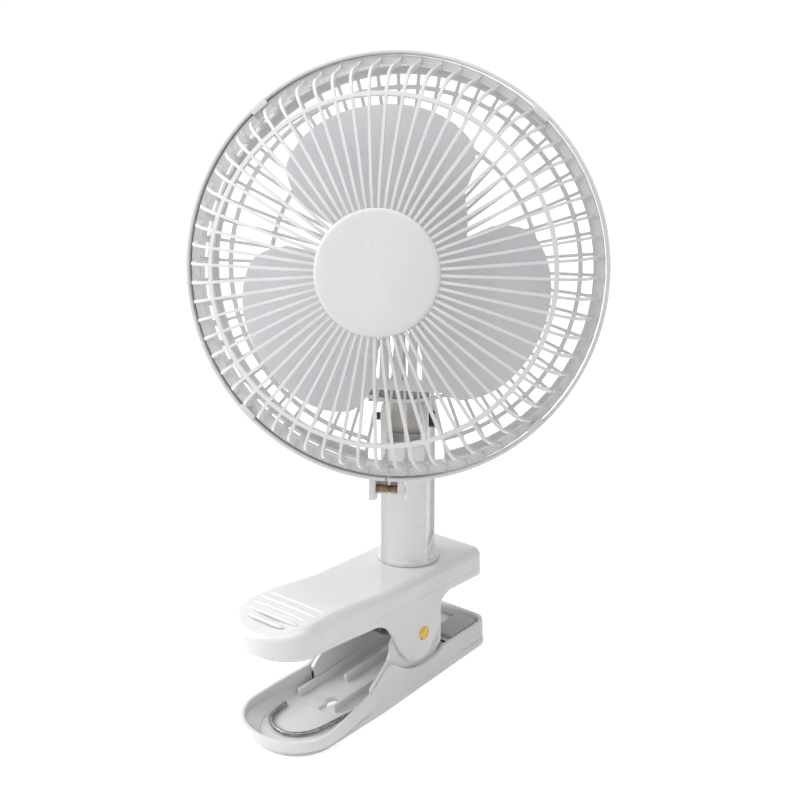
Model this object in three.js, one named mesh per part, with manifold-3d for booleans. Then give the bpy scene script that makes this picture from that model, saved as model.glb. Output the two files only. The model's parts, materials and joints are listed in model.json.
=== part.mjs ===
// A small fan on a spring clip. Millimetres, +Z up, the clip's tray flat on the table.
// The tray's floor is z = 0. The upper jaw, the neck and the fan lean with the open clip.
import * as THREE from "three";
import { mergeVertices } from "three/addons/utils/BufferGeometryUtils.js";
import Module from "manifold-3d";

const wasm = await Module();
wasm.setup();

// ---- driving dimensions, mm and degrees -----------------------------------
const GAP = 0.3; // left between two pieces that touch
const LEAN = 5.4; // the upper jaw over the tray at rest
const YAW = 30.4; // the neck turned on the clip
const NOSE_UP = 10.75; // the fan tipped back on the neck
const TILT_Z = 135; // height of the tilt bolt over the swivel's foot
const FAN_FORWARD = 54.4; // guard ring plane in front of the tilt bolt
const FAN_RISE = 77.5; // guard centre over the tilt bolt

const WALL = 2.4;
const TRAY_HALF = 24;
const TRAY_JAW = 38;
const TRAY_TAIL = -85;
const TRAY_TAIL_HALF = 22;
const TRAY_TAIL_REACH = 20;
const TRAY_RIM = 14;
const TAIL_RIM = 11.4; // the rim sinks to here at the tail
const FLARE = 5.8; // height where the wall has spread from the foot to the rim's outline
const RIM_JAW_OUT = 1.2; // how far the rim stands out past the foot at the jaw
const RIM_TAIL = -88.3;
const RIM_TAIL_HALF = 28.2;
const RIM_TAIL_REACH = 22.3;
const FLOOR = 3;
const FLANGE_OUT = 1;
const CORNER = 7;
const RIB_TOP = 5.2;
const KEYHOLE_R = 3.8;
const KEYHOLE_Y = -57.5;
const KEYHOLE_SLOT = 1.75;
const KEYHOLE_END = -67.5;
const JAW_BACK = 8; // where the tray's jaw platform starts
const PLATFORM_TOP = 11;
const PAD_THICK = 1.9;

const PIVOT_Y = -13;
const PIVOT_Z = 29;
const PIN_R = 2.3;
const RIVET_R = 4;
const EAR_IN = 18.8; // the tray's ears, inner and outer face
const EAR_OUT = 21.2;

const TOP_HALF = 24;
const TOP_Z = 59;
const SKIRT_Z = 44.2;
const TOP_JAW = 36;
const TOP_TAIL = -96.3;
const TOP_TAIL_HALF = 25.4;
const TOP_TAIL_REACH = 19.4;
const LIP_IN = 3; // the skirt's lower lip is drawn in this far at the tail
const LIP_Z = 47.2;
const TOP_ROUND = 3;
const ROOF = 2.6;
const RISE_TOP = 62; // the handle's back swells up to here
const STOP_Z = 38.4;

const WIRE = 2.2;
const COIL_R = 7.3;
const COIL_PITCH = 2.92;
const COIL_START_X = 2;
const COIL_START = -70.4; // angle where the lower leg leaves, from +Y towards +Z
const COIL_END = 90 + 6 * 360; // angle where the upper leg leaves
const LEG_Z = 4.7;

const NECK_HALF = 11.95;
const NECK_DEPTH = 13.25;
const NECK_FOOT_R = 16.5;
const NECK_FOOT = 3;
const SPIGOT_R = 8;
const SLOT_HALF = 8.55;
const SLOT_FLOOR = 125;
const RECESS = 1.6;
const BOLT_R = 2;
const TONGUE_HALF = 7.5;
const TONGUE_R = 8.5;

const HOOP_R = 100.4;
const HOOP_IN = 98.7;
const RIM_R = 98.1;
const SPOKES = 64;
const SPOKE_WIDE = 1.3;
const SPOKE_DEEP = 2.2;
const CAP_R = 28.5;
const BACK_RIBS = 58;
const RIB_WIDE = 1.5;
const BACK_A = -20.5; // front face of the guard's back grille
const BACK_THICK = 2.2;
const PLATE_HALF = 31;
const PLATE_TOP = 48;
const PLATE_FOOT = -59.5;
const PLATE_A = -17.5;
const SIDE_IN = 94.6;
const SIDE_OUT = 96.5;
const LUG_IN = 5.3;
const LUG_OUT = 8.7;
const CLAMP_Z = -104.5;
const CLAMP_R = 1.85;

const BLADE_TIP = 75.7;
const BLADE_ROOT = 11;
const BLADE_THICK = 1.4;
const HUB_R = 14;
const SHAFT_R = 1.5;
const HOUSING_R = 27;
const HOUSING_WALL = 2;
const HOUSING_BACK = -58;
const STATOR_HALF = 15;
const ROTOR_R = 9.5;
const BUTTON_R = 4;

// ---- building helpers -------------------------------------------------------
const rad = THREE.MathUtils.degToRad;
const v2 = ([x, y]) => new THREE.Vector2(x, y);

// A geometry as a solid: one closed body whose faces look out.
function solid(geometry) {
  const bare = geometry.clone();
  bare.deleteAttribute("normal");
  bare.deleteAttribute("uv");
  const merged = mergeVertices(bare, 1e-4);
  const list = Array.from(merged.index.array);
  const faces = [];
  for (let i = 0; i < list.length; i += 3) {
    const [a, b, c] = list.slice(i, i + 3);
    if (a !== b && b !== c && a !== c) faces.push([a, b, c]);
  }
  const build = (all) =>
    new wasm.Manifold(
      new wasm.Mesh({
        numProp: 3,
        vertProperties: merged.attributes.position.array,
        triVerts: new Uint32Array(all.flat()),
      }),
    );
  const body = build(faces);
  if (body.volume() > 0) return body;
  return build(faces.map(([a, b, c]) => [a, c, b]));
}

// An outline extruded along an axis: x takes (y, z), y takes (x, z), z takes (x, y).
function slab(axis, points, from, to, holes = []) {
  const shape = new THREE.Shape(points.map(v2));
  holes.forEach((hole) => shape.holes.push(new THREE.Path(hole.map(v2))));
  const g = new THREE.ExtrudeGeometry(shape, { depth: to - from, bevelEnabled: false });
  if (axis === "y") g.translate(0, 0, -to).rotateX(Math.PI / 2);
  else g.translate(0, 0, from);
  if (axis === "x") g.applyMatrix4(new THREE.Matrix4().set(0, 0, 1, 0, 1, 0, 0, 0, 0, 1, 0, 0, 0, 0, 0, 1));
  return solid(g);
}

function ring(u, v, r, sides, start = 0) {
  const at = (i) => rad(start + (i * 360) / sides);
  return Array.from({ length: sides }, (_, i) => [u + r * Math.cos(at(i)), v + r * Math.sin(at(i))]);
}

function rod(axis, u, v, r, from, to, sides = 14) {
  return slab(axis, ring(u, v, r, sides, 180 / sides), from, to);
}

function block(x0, x1, y0, y1, z0, z1) {
  const g = new THREE.BoxGeometry(x1 - x0, y1 - y0, z1 - z0);
  g.translate((x0 + x1) / 2, (y0 + y1) / 2, (z0 + z1) / 2);
  return solid(g);
}

// A profile of (radius, distance forward) turned about the fan's axis.
function turned(profile, sides, phase = 0) {
  const points = [...profile, profile[0]].map(([r, a]) => v2([r, -a]));
  return solid(new THREE.LatheGeometry(points, sides, rad(phase), Math.PI * 2));
}

const joined = (list) => list.reduce((all, one) => all.add(one));
const cut = (body, list) => list.reduce((all, one) => all.subtract(one), body);
const mirrored = (points) => points.map(([x, y]) => [-x, y]);
// Fan pieces are laid out by distance forward: the fan looks along -Y.
const rodA = (x, z, r, a0, a1, sides) => rod("y", x, z, r, -a1, -a0, sides);
const slabA = (points, a0, a1, holes) => slab("y", points, -a1, -a0, holes);
const blockA = (x0, x1, a0, a1, z0, z1) => block(x0, x1, -a1, -a0, z0, z1);

const group = new THREE.Group();
const upper = new THREE.Group();
upper.rotation.x = -rad(LEAN);
group.add(upper);
const neck = new THREE.Group();
neck.rotation.z = rad(YAW);
upper.add(neck);
const head = new THREE.Group();
head.position.set(0, 0, TILT_Z);
head.rotation.x = -rad(NOSE_UP);
neck.add(head);
const fan = new THREE.Group();
fan.position.set(0, -FAN_FORWARD, FAN_RISE);
head.add(fan);

function piece(parent, name, body, color, roughness = 0.4, metalness = 0) {
  const data = body.getMesh();
  const g = new THREE.BufferGeometry();
  g.setAttribute("position", new THREE.BufferAttribute(new Float32Array(data.vertProperties), 3));
  g.setIndex(new THREE.BufferAttribute(new Uint32Array(data.triVerts), 1));
  g.computeVertexNormals();
  const mesh = new THREE.Mesh(g, new THREE.MeshStandardMaterial({ color, roughness, metalness }));
  mesh.name = name;
  parent.add(mesh);
}

const WHITE = 0xf1f1ef;
const GREY = 0x9a9c9e;
const BEIGE = 0xc9c4bb;
const STEEL = 0x8b8e92;
const DARK_STEEL = 0x55585c;
const BRASS = 0xc7a45a;

// ---- the clip's tray ----------------------------------------------------------
// Half an outline from the jaw's corner to the rounded tail, then its mirror image.
function clipOutline(half, jaw, side, tailY, tailHalf, reach, inset) {
  const c = Math.max(CORNER - inset, 1);
  const w = half - inset;
  const right = [];
  for (let i = 0; i <= 3; i++) {
    const t = rad(90 - (90 * i) / 3);
    right.push([w - c + c * Math.cos(t), jaw - inset - c + c * Math.sin(t)]);
  }
  side.forEach(([x, y]) => right.push([x - inset, y]));
  for (let i = 0; i < 5; i++) {
    const t = rad((90 * i) / 5);
    right.push([(tailHalf - inset) * Math.cos(t), tailY - (reach - inset) * Math.sin(t)]);
  }
  const left = mirrored(right).reverse();
  return [...right, [0, tailY - reach + inset], ...left];
}

// A solid between outlines of the same count of points at rising heights.
function lofted(rings) {
  const n = rings[0][0].length;
  const points = rings.flatMap(([outline, z]) => outline.map(([x, y]) => new THREE.Vector3(x, y, z)));
  const index = [];
  for (let i = 0; i + 1 < rings.length; i++) {
    for (let k = 0; k < n; k++) {
      const a = i * n + k;
      const b = i * n + ((k + 1) % n);
      index.push(a, b, b + n, a, b + n, a + n);
    }
  }
  [0, rings.length - 1].forEach((i) => {
    THREE.ShapeUtils.triangulateShape(rings[i][0].map(v2), []).forEach(([a, b, c]) => {
      const at = i * n;
      if (i) index.push(at + a, at + c, at + b);
      else index.push(at + a, at + b, at + c);
    });
  });
  const g = new THREE.BufferGeometry().setFromPoints(points);
  g.setIndex(index);
  return solid(g.toNonIndexed());
}

const TRAY_SIDE = [[TRAY_HALF, 10], [TRAY_HALF, -4], [TRAY_HALF, -50], [23.4, -62], [22.5, -73]];
const RIM_SIDE = [[24.4, 10], [TRAY_HALF, -4], [TRAY_HALF, -50], [25.3, -62], [26.8, -73]];
const trayOutline = (inset) =>
  clipOutline(TRAY_HALF, TRAY_JAW, TRAY_SIDE, TRAY_TAIL, TRAY_TAIL_HALF, TRAY_TAIL_REACH, inset);

const TRAY_EAR = [
  [-52, 1], [-52, 13], [-49.5, 15.6], [-45.4, 18.2], [-40.5, 21.5], [-37.1, 24.4], [-35.2, 28.1],
  [-34.6, 32], [-32, 35.5], [-27, 37.6], [-20, 38.4], [-3, 38.4], [-1, 36.5], [-0.5, 20], [-0.5, 1],
];
const TRAY_CHEEK = [
  [-52, 12], [-52, 14], [-49.5, 15.6], [-45.4, 18.2], [-40.5, 21.5], [-38.5, 22.5], [-35, 20],
  [-31, 16.5], [-26, 13.4], [-26, 12],
];
const TRAY_DIP = [
  [-26.5, 13.6], [-20, 12], [-13, 11.3], [-6, 11.3], [-1, 11.9], [2.5, 14.2], [2.5, 16], [-26.5, 16],
];

const rimOutline = (inset) =>
  clipOutline(
    TRAY_HALF + RIM_JAW_OUT, TRAY_JAW + RIM_JAW_OUT, RIM_SIDE,
    RIM_TAIL, RIM_TAIL_HALF, RIM_TAIL_REACH, inset,
  );

function onBothSides(points, from, to) {
  return [slab("x", points, from, to), slab("x", points, -to, -from)];
}

function tray() {
  const over = TRAY_RIM + 4;
  const outer = lofted([[trayOutline(0), 0], [trayOutline(0), FLOOR], [rimOutline(0), FLARE], [rimOutline(0), over]]);
  const hollow = lofted([
    [trayOutline(WALL), FLOOR], [trayOutline(WALL), FLOOR + 0.4],
    [rimOutline(WALL), FLARE + 1.2], [rimOutline(WALL), over + 1],
  ]);
  const above = [[-140, TAIL_RIM], [-98, TAIL_RIM], [-56, TRAY_RIM], [60, TRAY_RIM], [60, 30], [-140, 30]];
  const shell = cut(outer, [hollow, slab("x", above, -40, 40)]);
  const flange = slab("z", trayOutline(-FLANGE_OUT), 0, FLOOR);
  const inner = TRAY_HALF - WALL + 0.2;
  const platform = block(-inner, inner, JAW_BACK, TRAY_JAW - 1.5, PLATFORM_TOP - WALL, PLATFORM_TOP);
  const riser = block(-inner, inner, JAW_BACK, JAW_BACK + WALL, 1, PLATFORM_TOP);
  const low = [[-52, 1], [-52, 11], [-0.5, 11], [-0.5, 1]];
  const ribs = [
    block(-19, -17, -65, JAW_BACK + 1, 1, RIB_TOP),
    block(-8.5, -6, -41, JAW_BACK + 1, 1, RIB_TOP),
    block(6, 7, -65.6, JAW_BACK + 1, 1, RIB_TOP),
  ];
  const body = cut(
    joined([shell, flange, riser, ...onBothSides(TRAY_EAR, EAR_IN, EAR_OUT)]),
    onBothSides(TRAY_DIP, EAR_OUT + 0.1, TRAY_HALF + 2),
  );
  const full = joined([
    body, platform, ...ribs,
    ...onBothSides(low, EAR_IN + 0.1, inner),
    ...onBothSides(TRAY_CHEEK, TRAY_HALF - WALL, TRAY_HALF),
  ]);
  return cut(full, [
    rod("x", PIVOT_Y, PIVOT_Z, PIN_R + GAP, -30, 30),
    rod("z", -1, KEYHOLE_Y, KEYHOLE_R, -1, RIB_TOP),
    block(-1 - KEYHOLE_SLOT, -1 + KEYHOLE_SLOT, KEYHOLE_END, KEYHOLE_Y, -1, FLOOR + 1),
    slab("z", trayOutline(WALL).map(([x, y]) => [x, Math.max(y, JAW_BACK + WALL)]), -1, PLATFORM_TOP - WALL),
  ]);
}

function jawPad(outline, back, z0, z1, hole) {
  const whole = slab("z", outline, z0, z1);
  return cut(whole, [block(-40, 40, -200, back, z0 - 1, z1 + 1), hole]);
}

function trayPieces() {
  piece(group, "clip_lower", tray(), WHITE, 0.25);
  const z0 = PLATFORM_TOP + GAP;
  const hole = block(-7, 7, 19, 34, z0 - 1, z0 + PAD_THICK + 1);
  const pad = jawPad(trayOutline(WALL + 1), JAW_BACK + 3, z0, z0 + PAD_THICK, hole);
  piece(group, "lower_jaw_pad", pad, GREY, 0.8);
  const out = TRAY_HALF - 0.5;
  const pin = joined([
    rod("x", PIVOT_Y, PIVOT_Z, PIN_R, -out - 0.5, out + 0.5),
    rod("x", PIVOT_Y, PIVOT_Z, RIVET_R, out, out + 1),
    rod("x", PIVOT_Y, PIVOT_Z, RIVET_R - 1.2, out + 0.9, out + 1.7),
    rod("x", PIVOT_Y, PIVOT_Z, RIVET_R, -out - 1, -out),
    rod("x", PIVOT_Y, PIVOT_Z, RIVET_R - 1.2, -out - 1.7, -out - 0.9),
  ]);
  piece(group, "pivot_pin", pin, BRASS, 0.3, 1);
  const span = EAR_IN - 0.4;
  const sleeve = cut(rod("x", PIVOT_Y, PIVOT_Z, 4.6, -span, span), [
    rod("x", PIVOT_Y, PIVOT_Z, PIN_R + GAP, -span - 1, span + 1),
  ]);
  piece(group, "spring_sleeve", sleeve, BEIGE, 0.6);
}

// ---- the torsion spring: one tube along a helix with a leg at each end --------
function springPath() {
  const lower = [
    [-17.5, -74.4, LEG_Z], [-17.5, -76.7, LEG_Z], [-16.8, -83.9, LEG_Z], [-14, -89.6, LEG_Z],
    [-7.4, -93.5, LEG_Z], [0.7, -94.6, LEG_Z], [7.4, -90.9, LEG_Z], [12.9, -82.3, LEG_Z],
    [13.9, -72.6, LEG_Z], [16.5, -62.5, LEG_Z], [17.1, -47, LEG_Z + 0.9], [15.4, -33.5, 11.4],
    [9.6, -21.5, 17.6],
  ];
  const path = lower.map(([x, y, z]) => new THREE.Vector3(x, y, z));
  const steps = Math.round(((COIL_END - COIL_START) / 360) * 7);
  for (let i = 0; i <= steps; i++) {
    const turn = COIL_START + ((COIL_END - COIL_START) * i) / steps;
    const x = COIL_START_X - (COIL_PITCH * (turn - COIL_START)) / 360;
    path.push(new THREE.Vector3(
      x,
      PIVOT_Y + COIL_R * Math.cos(rad(turn)),
      PIVOT_Z + COIL_R * Math.sin(rad(turn)),
    ));
  }
  const last = path[path.length - 1];
  path.push(last.clone().add(new THREE.Vector3(-0.4, -5, 0)));
  path.push(last.clone().add(new THREE.Vector3(-0.4, -17, 0.3)));
  path.push(last.clone().add(new THREE.Vector3(-0.4, -17 - WIRE, 0.3)));
  return path;
}

// A tube of five sides whose cross-section is carried along without twisting.
function tube(path, radius, sides) {
  const points = [];
  const dir = (i) =>
    path[Math.min(i + 1, path.length - 1)].clone().sub(path[Math.max(i - 1, 0)]).normalize();
  let side = new THREE.Vector3(0, 0, 1);
  path.forEach((p, i) => {
    const t = dir(i);
    side.sub(t.clone().multiplyScalar(side.dot(t))).normalize();
    const other = new THREE.Vector3().crossVectors(t, side);
    for (let k = 0; k < sides; k++) {
      const a = (2 * Math.PI * k) / sides;
      points.push(p.clone().addScaledVector(side, radius * Math.cos(a))
        .addScaledVector(other, radius * Math.sin(a)));
    }
  });
  const index = [];
  for (let i = 0; i + 1 < path.length; i++) {
    for (let k = 0; k < sides; k++) {
      const a = i * sides + k;
      const b = i * sides + ((k + 1) % sides);
      index.push(a, b, b + sides, a, b + sides, a + sides);
    }
  }
  const end = (path.length - 1) * sides;
  for (let k = 1; k + 1 < sides; k++) {
    index.push(0, k + 1, k, end, end + k, end + k + 1);
  }
  const g = new THREE.BufferGeometry().setFromPoints(points);
  g.setIndex(index);
  return g;
}

// The least clear distance between two parts of the wire more than half a turn apart.
function leastGap(path, radius) {
  const fine = new THREE.CatmullRomCurve3(path).getSpacedPoints(900);
  const apart = Math.ceil((Math.PI * COIL_R * 900) / new THREE.CatmullRomCurve3(path).getLength());
  let least = Infinity;
  for (let i = 0; i < fine.length; i++) {
    for (let k = i + apart; k < fine.length; k++) least = Math.min(least, fine[i].distanceTo(fine[k]));
  }
  return least - 2 * radius;
}

function springPiece() {
  const path = springPath();
  console.log("torsion_spring least gap to itself, mm: " + leastGap(path, WIRE / 2).toFixed(2));
  piece(group, "torsion_spring", solid(tube(path, WIRE / 2, 5)), DARK_STEEL, 0.35, 1);
}

// ---- the clip's upper jaw -------------------------------------------------------
const TOP_SIDE = [[TOP_HALF, -40], [23, -55], [23.6, -75], [24.6, -88]];
const topOutline = (inset) =>
  clipOutline(TOP_HALF, TOP_JAW, TOP_SIDE, TOP_TAIL, TOP_TAIL_HALF, TOP_TAIL_REACH, inset);
const UPPER_PIVOT = [-15.7, 27.6];
const TOP_EAR = [
  [-57, 46], [-53.5, 45], [-49.8, 43.8], [-43.8, 39.9], [-40, 35.2], [-36.9, 30.1], [-33.8, 23.9],
  [-29.1, 18.1], [-25.2, 15.4], [-20.4, 13.8], [-14.7, 13.6], [-9.1, 14.5], [-4.2, 16.4],
  [-1.9, 18.3], [-1.9, 40.7], [1.2, 42.4], [5.3, 44.4], [7, 46], [7, 50], [-57, 50],
];
const GRIP_Y = [-83.2, -88.9, -94.5, -100.3, -105.2];
const GRIP_HALF = [20, 20, 19.5, 17, 12];

function roundedCover(top) {
  const shape = new THREE.Shape(topOutline(TOP_ROUND).map(v2));
  const g = new THREE.ExtrudeGeometry(shape, {
    depth: top - SKIRT_Z, bevelEnabled: true, bevelThickness: TOP_ROUND, bevelSize: TOP_ROUND, bevelSegments: 2,
  });
  g.translate(0, 0, SKIRT_Z - TOP_ROUND);
  return cut(solid(g), [block(-60, 60, -200, 200, SKIRT_Z - 20, SKIRT_Z)]);
}

// The skirt below LIP_Z, drawn in round the tail.
const lipOutline = (inset) =>
  clipOutline(
    TOP_HALF, TOP_JAW, [[TOP_HALF, -40], [22.8, -55], [22.5, -75], [22.4, -88]],
    TOP_TAIL, TOP_TAIL_HALF - LIP_IN, TOP_TAIL_REACH - LIP_IN, inset,
  );

function upperJaw() {
  const high = [[-45, 50], [-45, TOP_Z - 0.2], [-84, RISE_TOP], [-96, RISE_TOP - 0.9], [-117, 57], [-117, 50]];
  const cover = roundedCover(TOP_Z).add(roundedCover(RISE_TOP).intersect(slab("x", high, -40, 40)));
  const raised = cut(cover, [block(-60, 60, -200, -56, SKIRT_Z - 1, LIP_Z)]);
  const lip = cut(slab("z", lipOutline(0), SKIRT_Z, LIP_Z + 0.5), [block(-60, 60, -55.5, 60, 40, 60)]);
  const shell = cut(raised.add(lip), [slab("z", lipOutline(WALL), SKIRT_Z - 1, TOP_Z - ROOF)]);
  const ears = onBothSides(TOP_EAR, TOP_HALF - WALL, TOP_HALF);
  const stops = onBothSides([[-8, STOP_Z], [-3.5, STOP_Z], [-3.5, 57], [-8, 57]], EAR_IN + 0.2, TOP_HALF - WALL + 0.1);
  const platform = slab("z", topOutline(WALL - 0.2), SKIRT_Z + 2.6, SKIRT_Z + 4.8);
  const jaw = cut(platform, [block(-40, 40, -200, 9, 40, 60)]);
  const grips = GRIP_Y.map((y, i) => {
    const z = RISE_TOP - [0, 0.2, 0.6, 1.3, 2.4][i];
    return rod("x", y, z, 1.2, -GRIP_HALF[i], GRIP_HALF[i], 8);
  });
  const [py, pz] = UPPER_PIVOT;
  return cut(joined([shell, ...ears, ...stops, jaw, ...grips]), [
    rod("x", py, pz, PIN_R + 0.4, -40, 40),
    rod("x", py, pz, RIVET_R + 1, TOP_HALF - 0.8, 40),
    rod("x", py, pz, RIVET_R + 1, -40, 0.8 - TOP_HALF),
    rod("z", 0, 0, SPIGOT_R + 0.4, 50, TOP_Z + 1, 24),
  ]);
}

function upperPieces() {
  piece(upper, "clip_upper", upperJaw(), WHITE, 0.2);
  const z1 = SKIRT_Z + 2.6 - GAP;
  const pad = jawPad(topOutline(WALL + 1), 12, z1 - 2.4, z1, block(-7, 7, 18, 30, z1 - 3, z1 + 1));
  piece(upper, "upper_jaw_pad", pad, GREY, 0.8);
}

// ---- the neck --------------------------------------------------------------------
function columnProfile() {
  const top = [];
  for (let i = 0; i <= 8; i++) {
    const t = rad((180 * i) / 8);
    top.push([NECK_DEPTH * Math.cos(t), TILT_Z + 1.2 + NECK_DEPTH * Math.sin(t)]);
  }
  const z0 = TOP_Z + GAP + 1;
  return [[-NECK_DEPTH, z0], [NECK_DEPTH, z0], ...top];
}

function column() {
  const z0 = TOP_Z + GAP;
  const spigot = rod("z", 0, 0, SPIGOT_R, TOP_Z - ROOF, z0 + 2, 24);
  const foot = joined([
    rod("z", 0, 0, NECK_FOOT_R, z0, z0 + NECK_FOOT - 1, 24),
    rod("z", 0, 0, NECK_FOOT_R - 1, z0, z0 + NECK_FOOT, 24),
  ]);
  const post = slab("x", columnProfile(), -NECK_HALF, NECK_HALF);
  const inRecess = NECK_HALF - RECESS;
  const recess = [[-9.6, 68], [13.3 - 2.4, 68], [13.3 - 2.4, 155], [-9.6, 155]];
  const back = block(-SLOT_HALF, SLOT_HALF, -NECK_DEPTH + 3, NECK_DEPTH + 1, 66, SLOT_FLOOR - 4);
  const ledge = block(-SLOT_HALF - 1, SLOT_HALF + 1, NECK_DEPTH - 2, NECK_DEPTH + 1, 65, SLOT_FLOOR - 3);
  const bosses = [
    rod("y", 0, 74, 3.4, -NECK_DEPTH + 2, NECK_DEPTH - 2.4, 12),
    rod("y", 0, 112, 3.4, -NECK_DEPTH + 2, NECK_DEPTH - 2.4, 12),
  ];
  const hollow = cut(joined([spigot, foot, post]), [
    slab("x", recess, inRecess, 20),
    slab("x", recess, -20, -inRecess),
    block(-SLOT_HALF, SLOT_HALF, -20, 20, SLOT_FLOOR, 160),
    back, ledge,
  ]);
  return cut(joined([hollow, ...bosses]), [
    rod("x", 0, TILT_Z, BOLT_R + GAP, -20, 20),
    rod("z", 0, 0, BOLT_R + GAP, 50, 64.5, 12),
    rod("y", 0, 74, 1.3 + GAP, -4, 20, 8),
    rod("y", 0, 112, 1.3 + GAP, -4, 20, 8),
  ]);
}

function coverScrew(z) {
  const seat = NECK_DEPTH + GAP;
  return rod("y", 0, z, 1.3, 0, seat + 0.2, 8).add(rod("y", 0, z, 2.4, seat, seat + 1.4, 12));
}

function neckPieces() {
  piece(neck, "neck_column", column(), WHITE, 0.35);
  const half = SLOT_HALF + 1 - GAP;
  const cover = cut(block(-half, half, NECK_DEPTH - 2 + GAP, NECK_DEPTH, 65 + GAP, SLOT_FLOOR - 3 - GAP), [
    rod("y", 0, 74, 1.3 + GAP, 0, 20, 8),
    rod("y", 0, 112, 1.3 + GAP, 0, 20, 8),
  ]);
  piece(neck, "neck_rear_cover", cover, BEIGE, 0.5);
  piece(neck, "neck_screw_lower", coverScrew(74), STEEL, 0.3, 1);
  piece(neck, "neck_screw_upper", coverScrew(112), STEEL, 0.3, 1);
  const under = TOP_Z - ROOF - GAP;
  const washer = cut(rod("z", 0, 0, 11.5, under - 1.5, under, 24), [
    rod("z", 0, 0, BOLT_R + GAP, under - 3, under + 1, 12),
  ]);
  piece(neck, "swivel_washer", washer, STEEL, 0.3, 1);
  const head1 = under - 1.5 - GAP;
  const screw = rod("z", 0, 0, BOLT_R, head1 - 1, 64, 12).add(rod("z", 0, 0, 4.2, head1 - 2.4, head1, 16));
  piece(neck, "swivel_screw", screw, STEEL, 0.3, 1);
  const seat = NECK_HALF - RECESS + GAP;
  const bolt = rod("x", 0, TILT_Z, BOLT_R, -seat - 6, seat + 1, 12).add(rod("x", 0, TILT_Z, 4.5, seat, seat + 3.2, 6));
  piece(neck, "tilt_bolt", bolt, DARK_STEEL, 0.35, 1);
  const nut = cut(rod("x", 0, TILT_Z, 4.2, -seat - 3.2, -seat, 6), [
    rod("x", 0, TILT_Z, BOLT_R + GAP, -30, 0, 12),
  ]);
  piece(neck, "tilt_nut", nut, STEEL, 0.3, 1);
  [["tilt_washer_right", 7.8], ["tilt_washer_left", -8.25]].forEach(([name, x]) => {
    const flat = cut(rod("x", 0, TILT_Z, 6, x, x + 0.45, 16), [rod("x", 0, TILT_Z, BOLT_R + GAP, -20, 20, 12)]);
    piece(neck, name, flat, STEEL, 0.4, 1);
  });
}

// ---- the tilt arm ------------------------------------------------------------------
function tiltArm() {
  const tongue = [];
  for (let i = 0; i <= 8; i++) {
    const t = rad(-(180 * i) / 8);
    tongue.push([TONGUE_R * Math.cos(t), TONGUE_R * Math.sin(t)]);
  }
  const plateY = -FAN_FORWARD - BACK_A + BACK_THICK + GAP;
  const arm = [...tongue, [-12, 4.5], [plateY, 11], [plateY, 17.3], [-9, 17.3], [TONGUE_R, 10]];
  const toZ = FAN_RISE + PLATE_FOOT;
  const plate = block(-15, 15, plateY, plateY + 2.4, toZ - 6.5, toZ + 3.7);
  return cut(joined([slab("x", arm, -TONGUE_HALF, TONGUE_HALF), plate]), [
    rod("x", 0, 0, BOLT_R + 0.4, -20, 20, 16),
    rod("y", 12, toZ + 1.6, 1.3 + GAP, -60, 0, 8),
    rod("y", -12, toZ + 1.6, 1.3 + GAP, -60, 0, 8),
  ]);
}

function armPieces() {
  piece(head, "tilt_arm", tiltArm(), 0x6c6660, 0.5);
  const y0 = -FAN_FORWARD - BACK_A + BACK_THICK + GAP;
  const z = FAN_RISE + PLATE_FOOT + 1.6;
  [["arm_screw_right", 12], ["arm_screw_left", -12]].forEach(([name, x]) => {
    const seat = y0 + 2.4 + GAP;
    const body = rod("y", x, z, 1.3, y0 - 2.2, seat + 0.2, 8).add(rod("y", x, z, 2.3, seat, seat + 1.5, 12));
    piece(head, name, body, STEEL, 0.3, 1);
  });
}

// ---- the guards -----------------------------------------------------------------------
// A cage turned about the fan's axis. Each row gives its front and its back point as (radius,
// distance forward); bars run along all the rows, and a row with a band is solid all round as
// far as the next row, except in the gaps between bars that its list of open gaps names.
function cage(rows, count) {
  const points = [];
  for (let s = 0; s < count; s++) {
    rows.forEach(({ wide, back, front }) => {
      [-1, 1].forEach((edge) => {
        [back, front].forEach(([r, a]) => {
          const t = rad((s * 360) / count) + edge * Math.asin(wide / 2 / r);
          points.push(new THREE.Vector3(r * Math.cos(t), -a, r * Math.sin(t)));
        });
      });
    });
  }
  const id = (s, row, edge, skin) => ((s % count) * rows.length + row) * 4 + edge * 2 + skin;
  const last = rows.length - 1;
  const band = (row, s) => row >= 0 && row < last && rows[row].band && !(rows[row].open || []).includes(s);
  const index = [];
  const quad = (a, b, c, d) => index.push(a, b, c, a, c, d);
  const skins = (u0, u1, v0, v1) => {
    quad(u0(v0, 1), u1(v0, 1), u1(v1, 1), u0(v1, 1));
    quad(u0(v0, 0), u0(v1, 0), u1(v1, 0), u1(v0, 0));
  };
  for (let s = 0; s < count; s++) {
    const first = (row, skin) => id(s, row, 0, skin);
    const second = (row, skin) => id(s, row, 1, skin);
    const next = (row, skin) => id(s + 1, row, 0, skin);
    for (let row = 0; row < last; row++) {
      skins(first, second, row, row + 1);
      if (band(row, s)) skins(second, next, row, row + 1);
      else {
        quad(second(row, 0), second(row + 1, 0), second(row + 1, 1), second(row, 1));
        quad(next(row, 0), next(row, 1), next(row + 1, 1), next(row + 1, 0));
      }
    }
    for (let row = 0; row <= last; row++) {
      const before = band(row - 1, s);
      const after = band(row, s);
      if (before && !after) quad(second(row, 0), second(row, 1), next(row, 1), next(row, 0));
      if (after && !before) quad(second(row, 0), next(row, 0), next(row, 1), second(row, 1));
    }
    quad(first(0, 0), second(0, 0), second(0, 1), first(0, 1));
    quad(first(last, 0), first(last, 1), second(last, 1), second(last, 0));
  }
  const g = new THREE.BufferGeometry().setFromPoints(points);
  g.setIndex(index);
  return solid(g);
}

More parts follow.
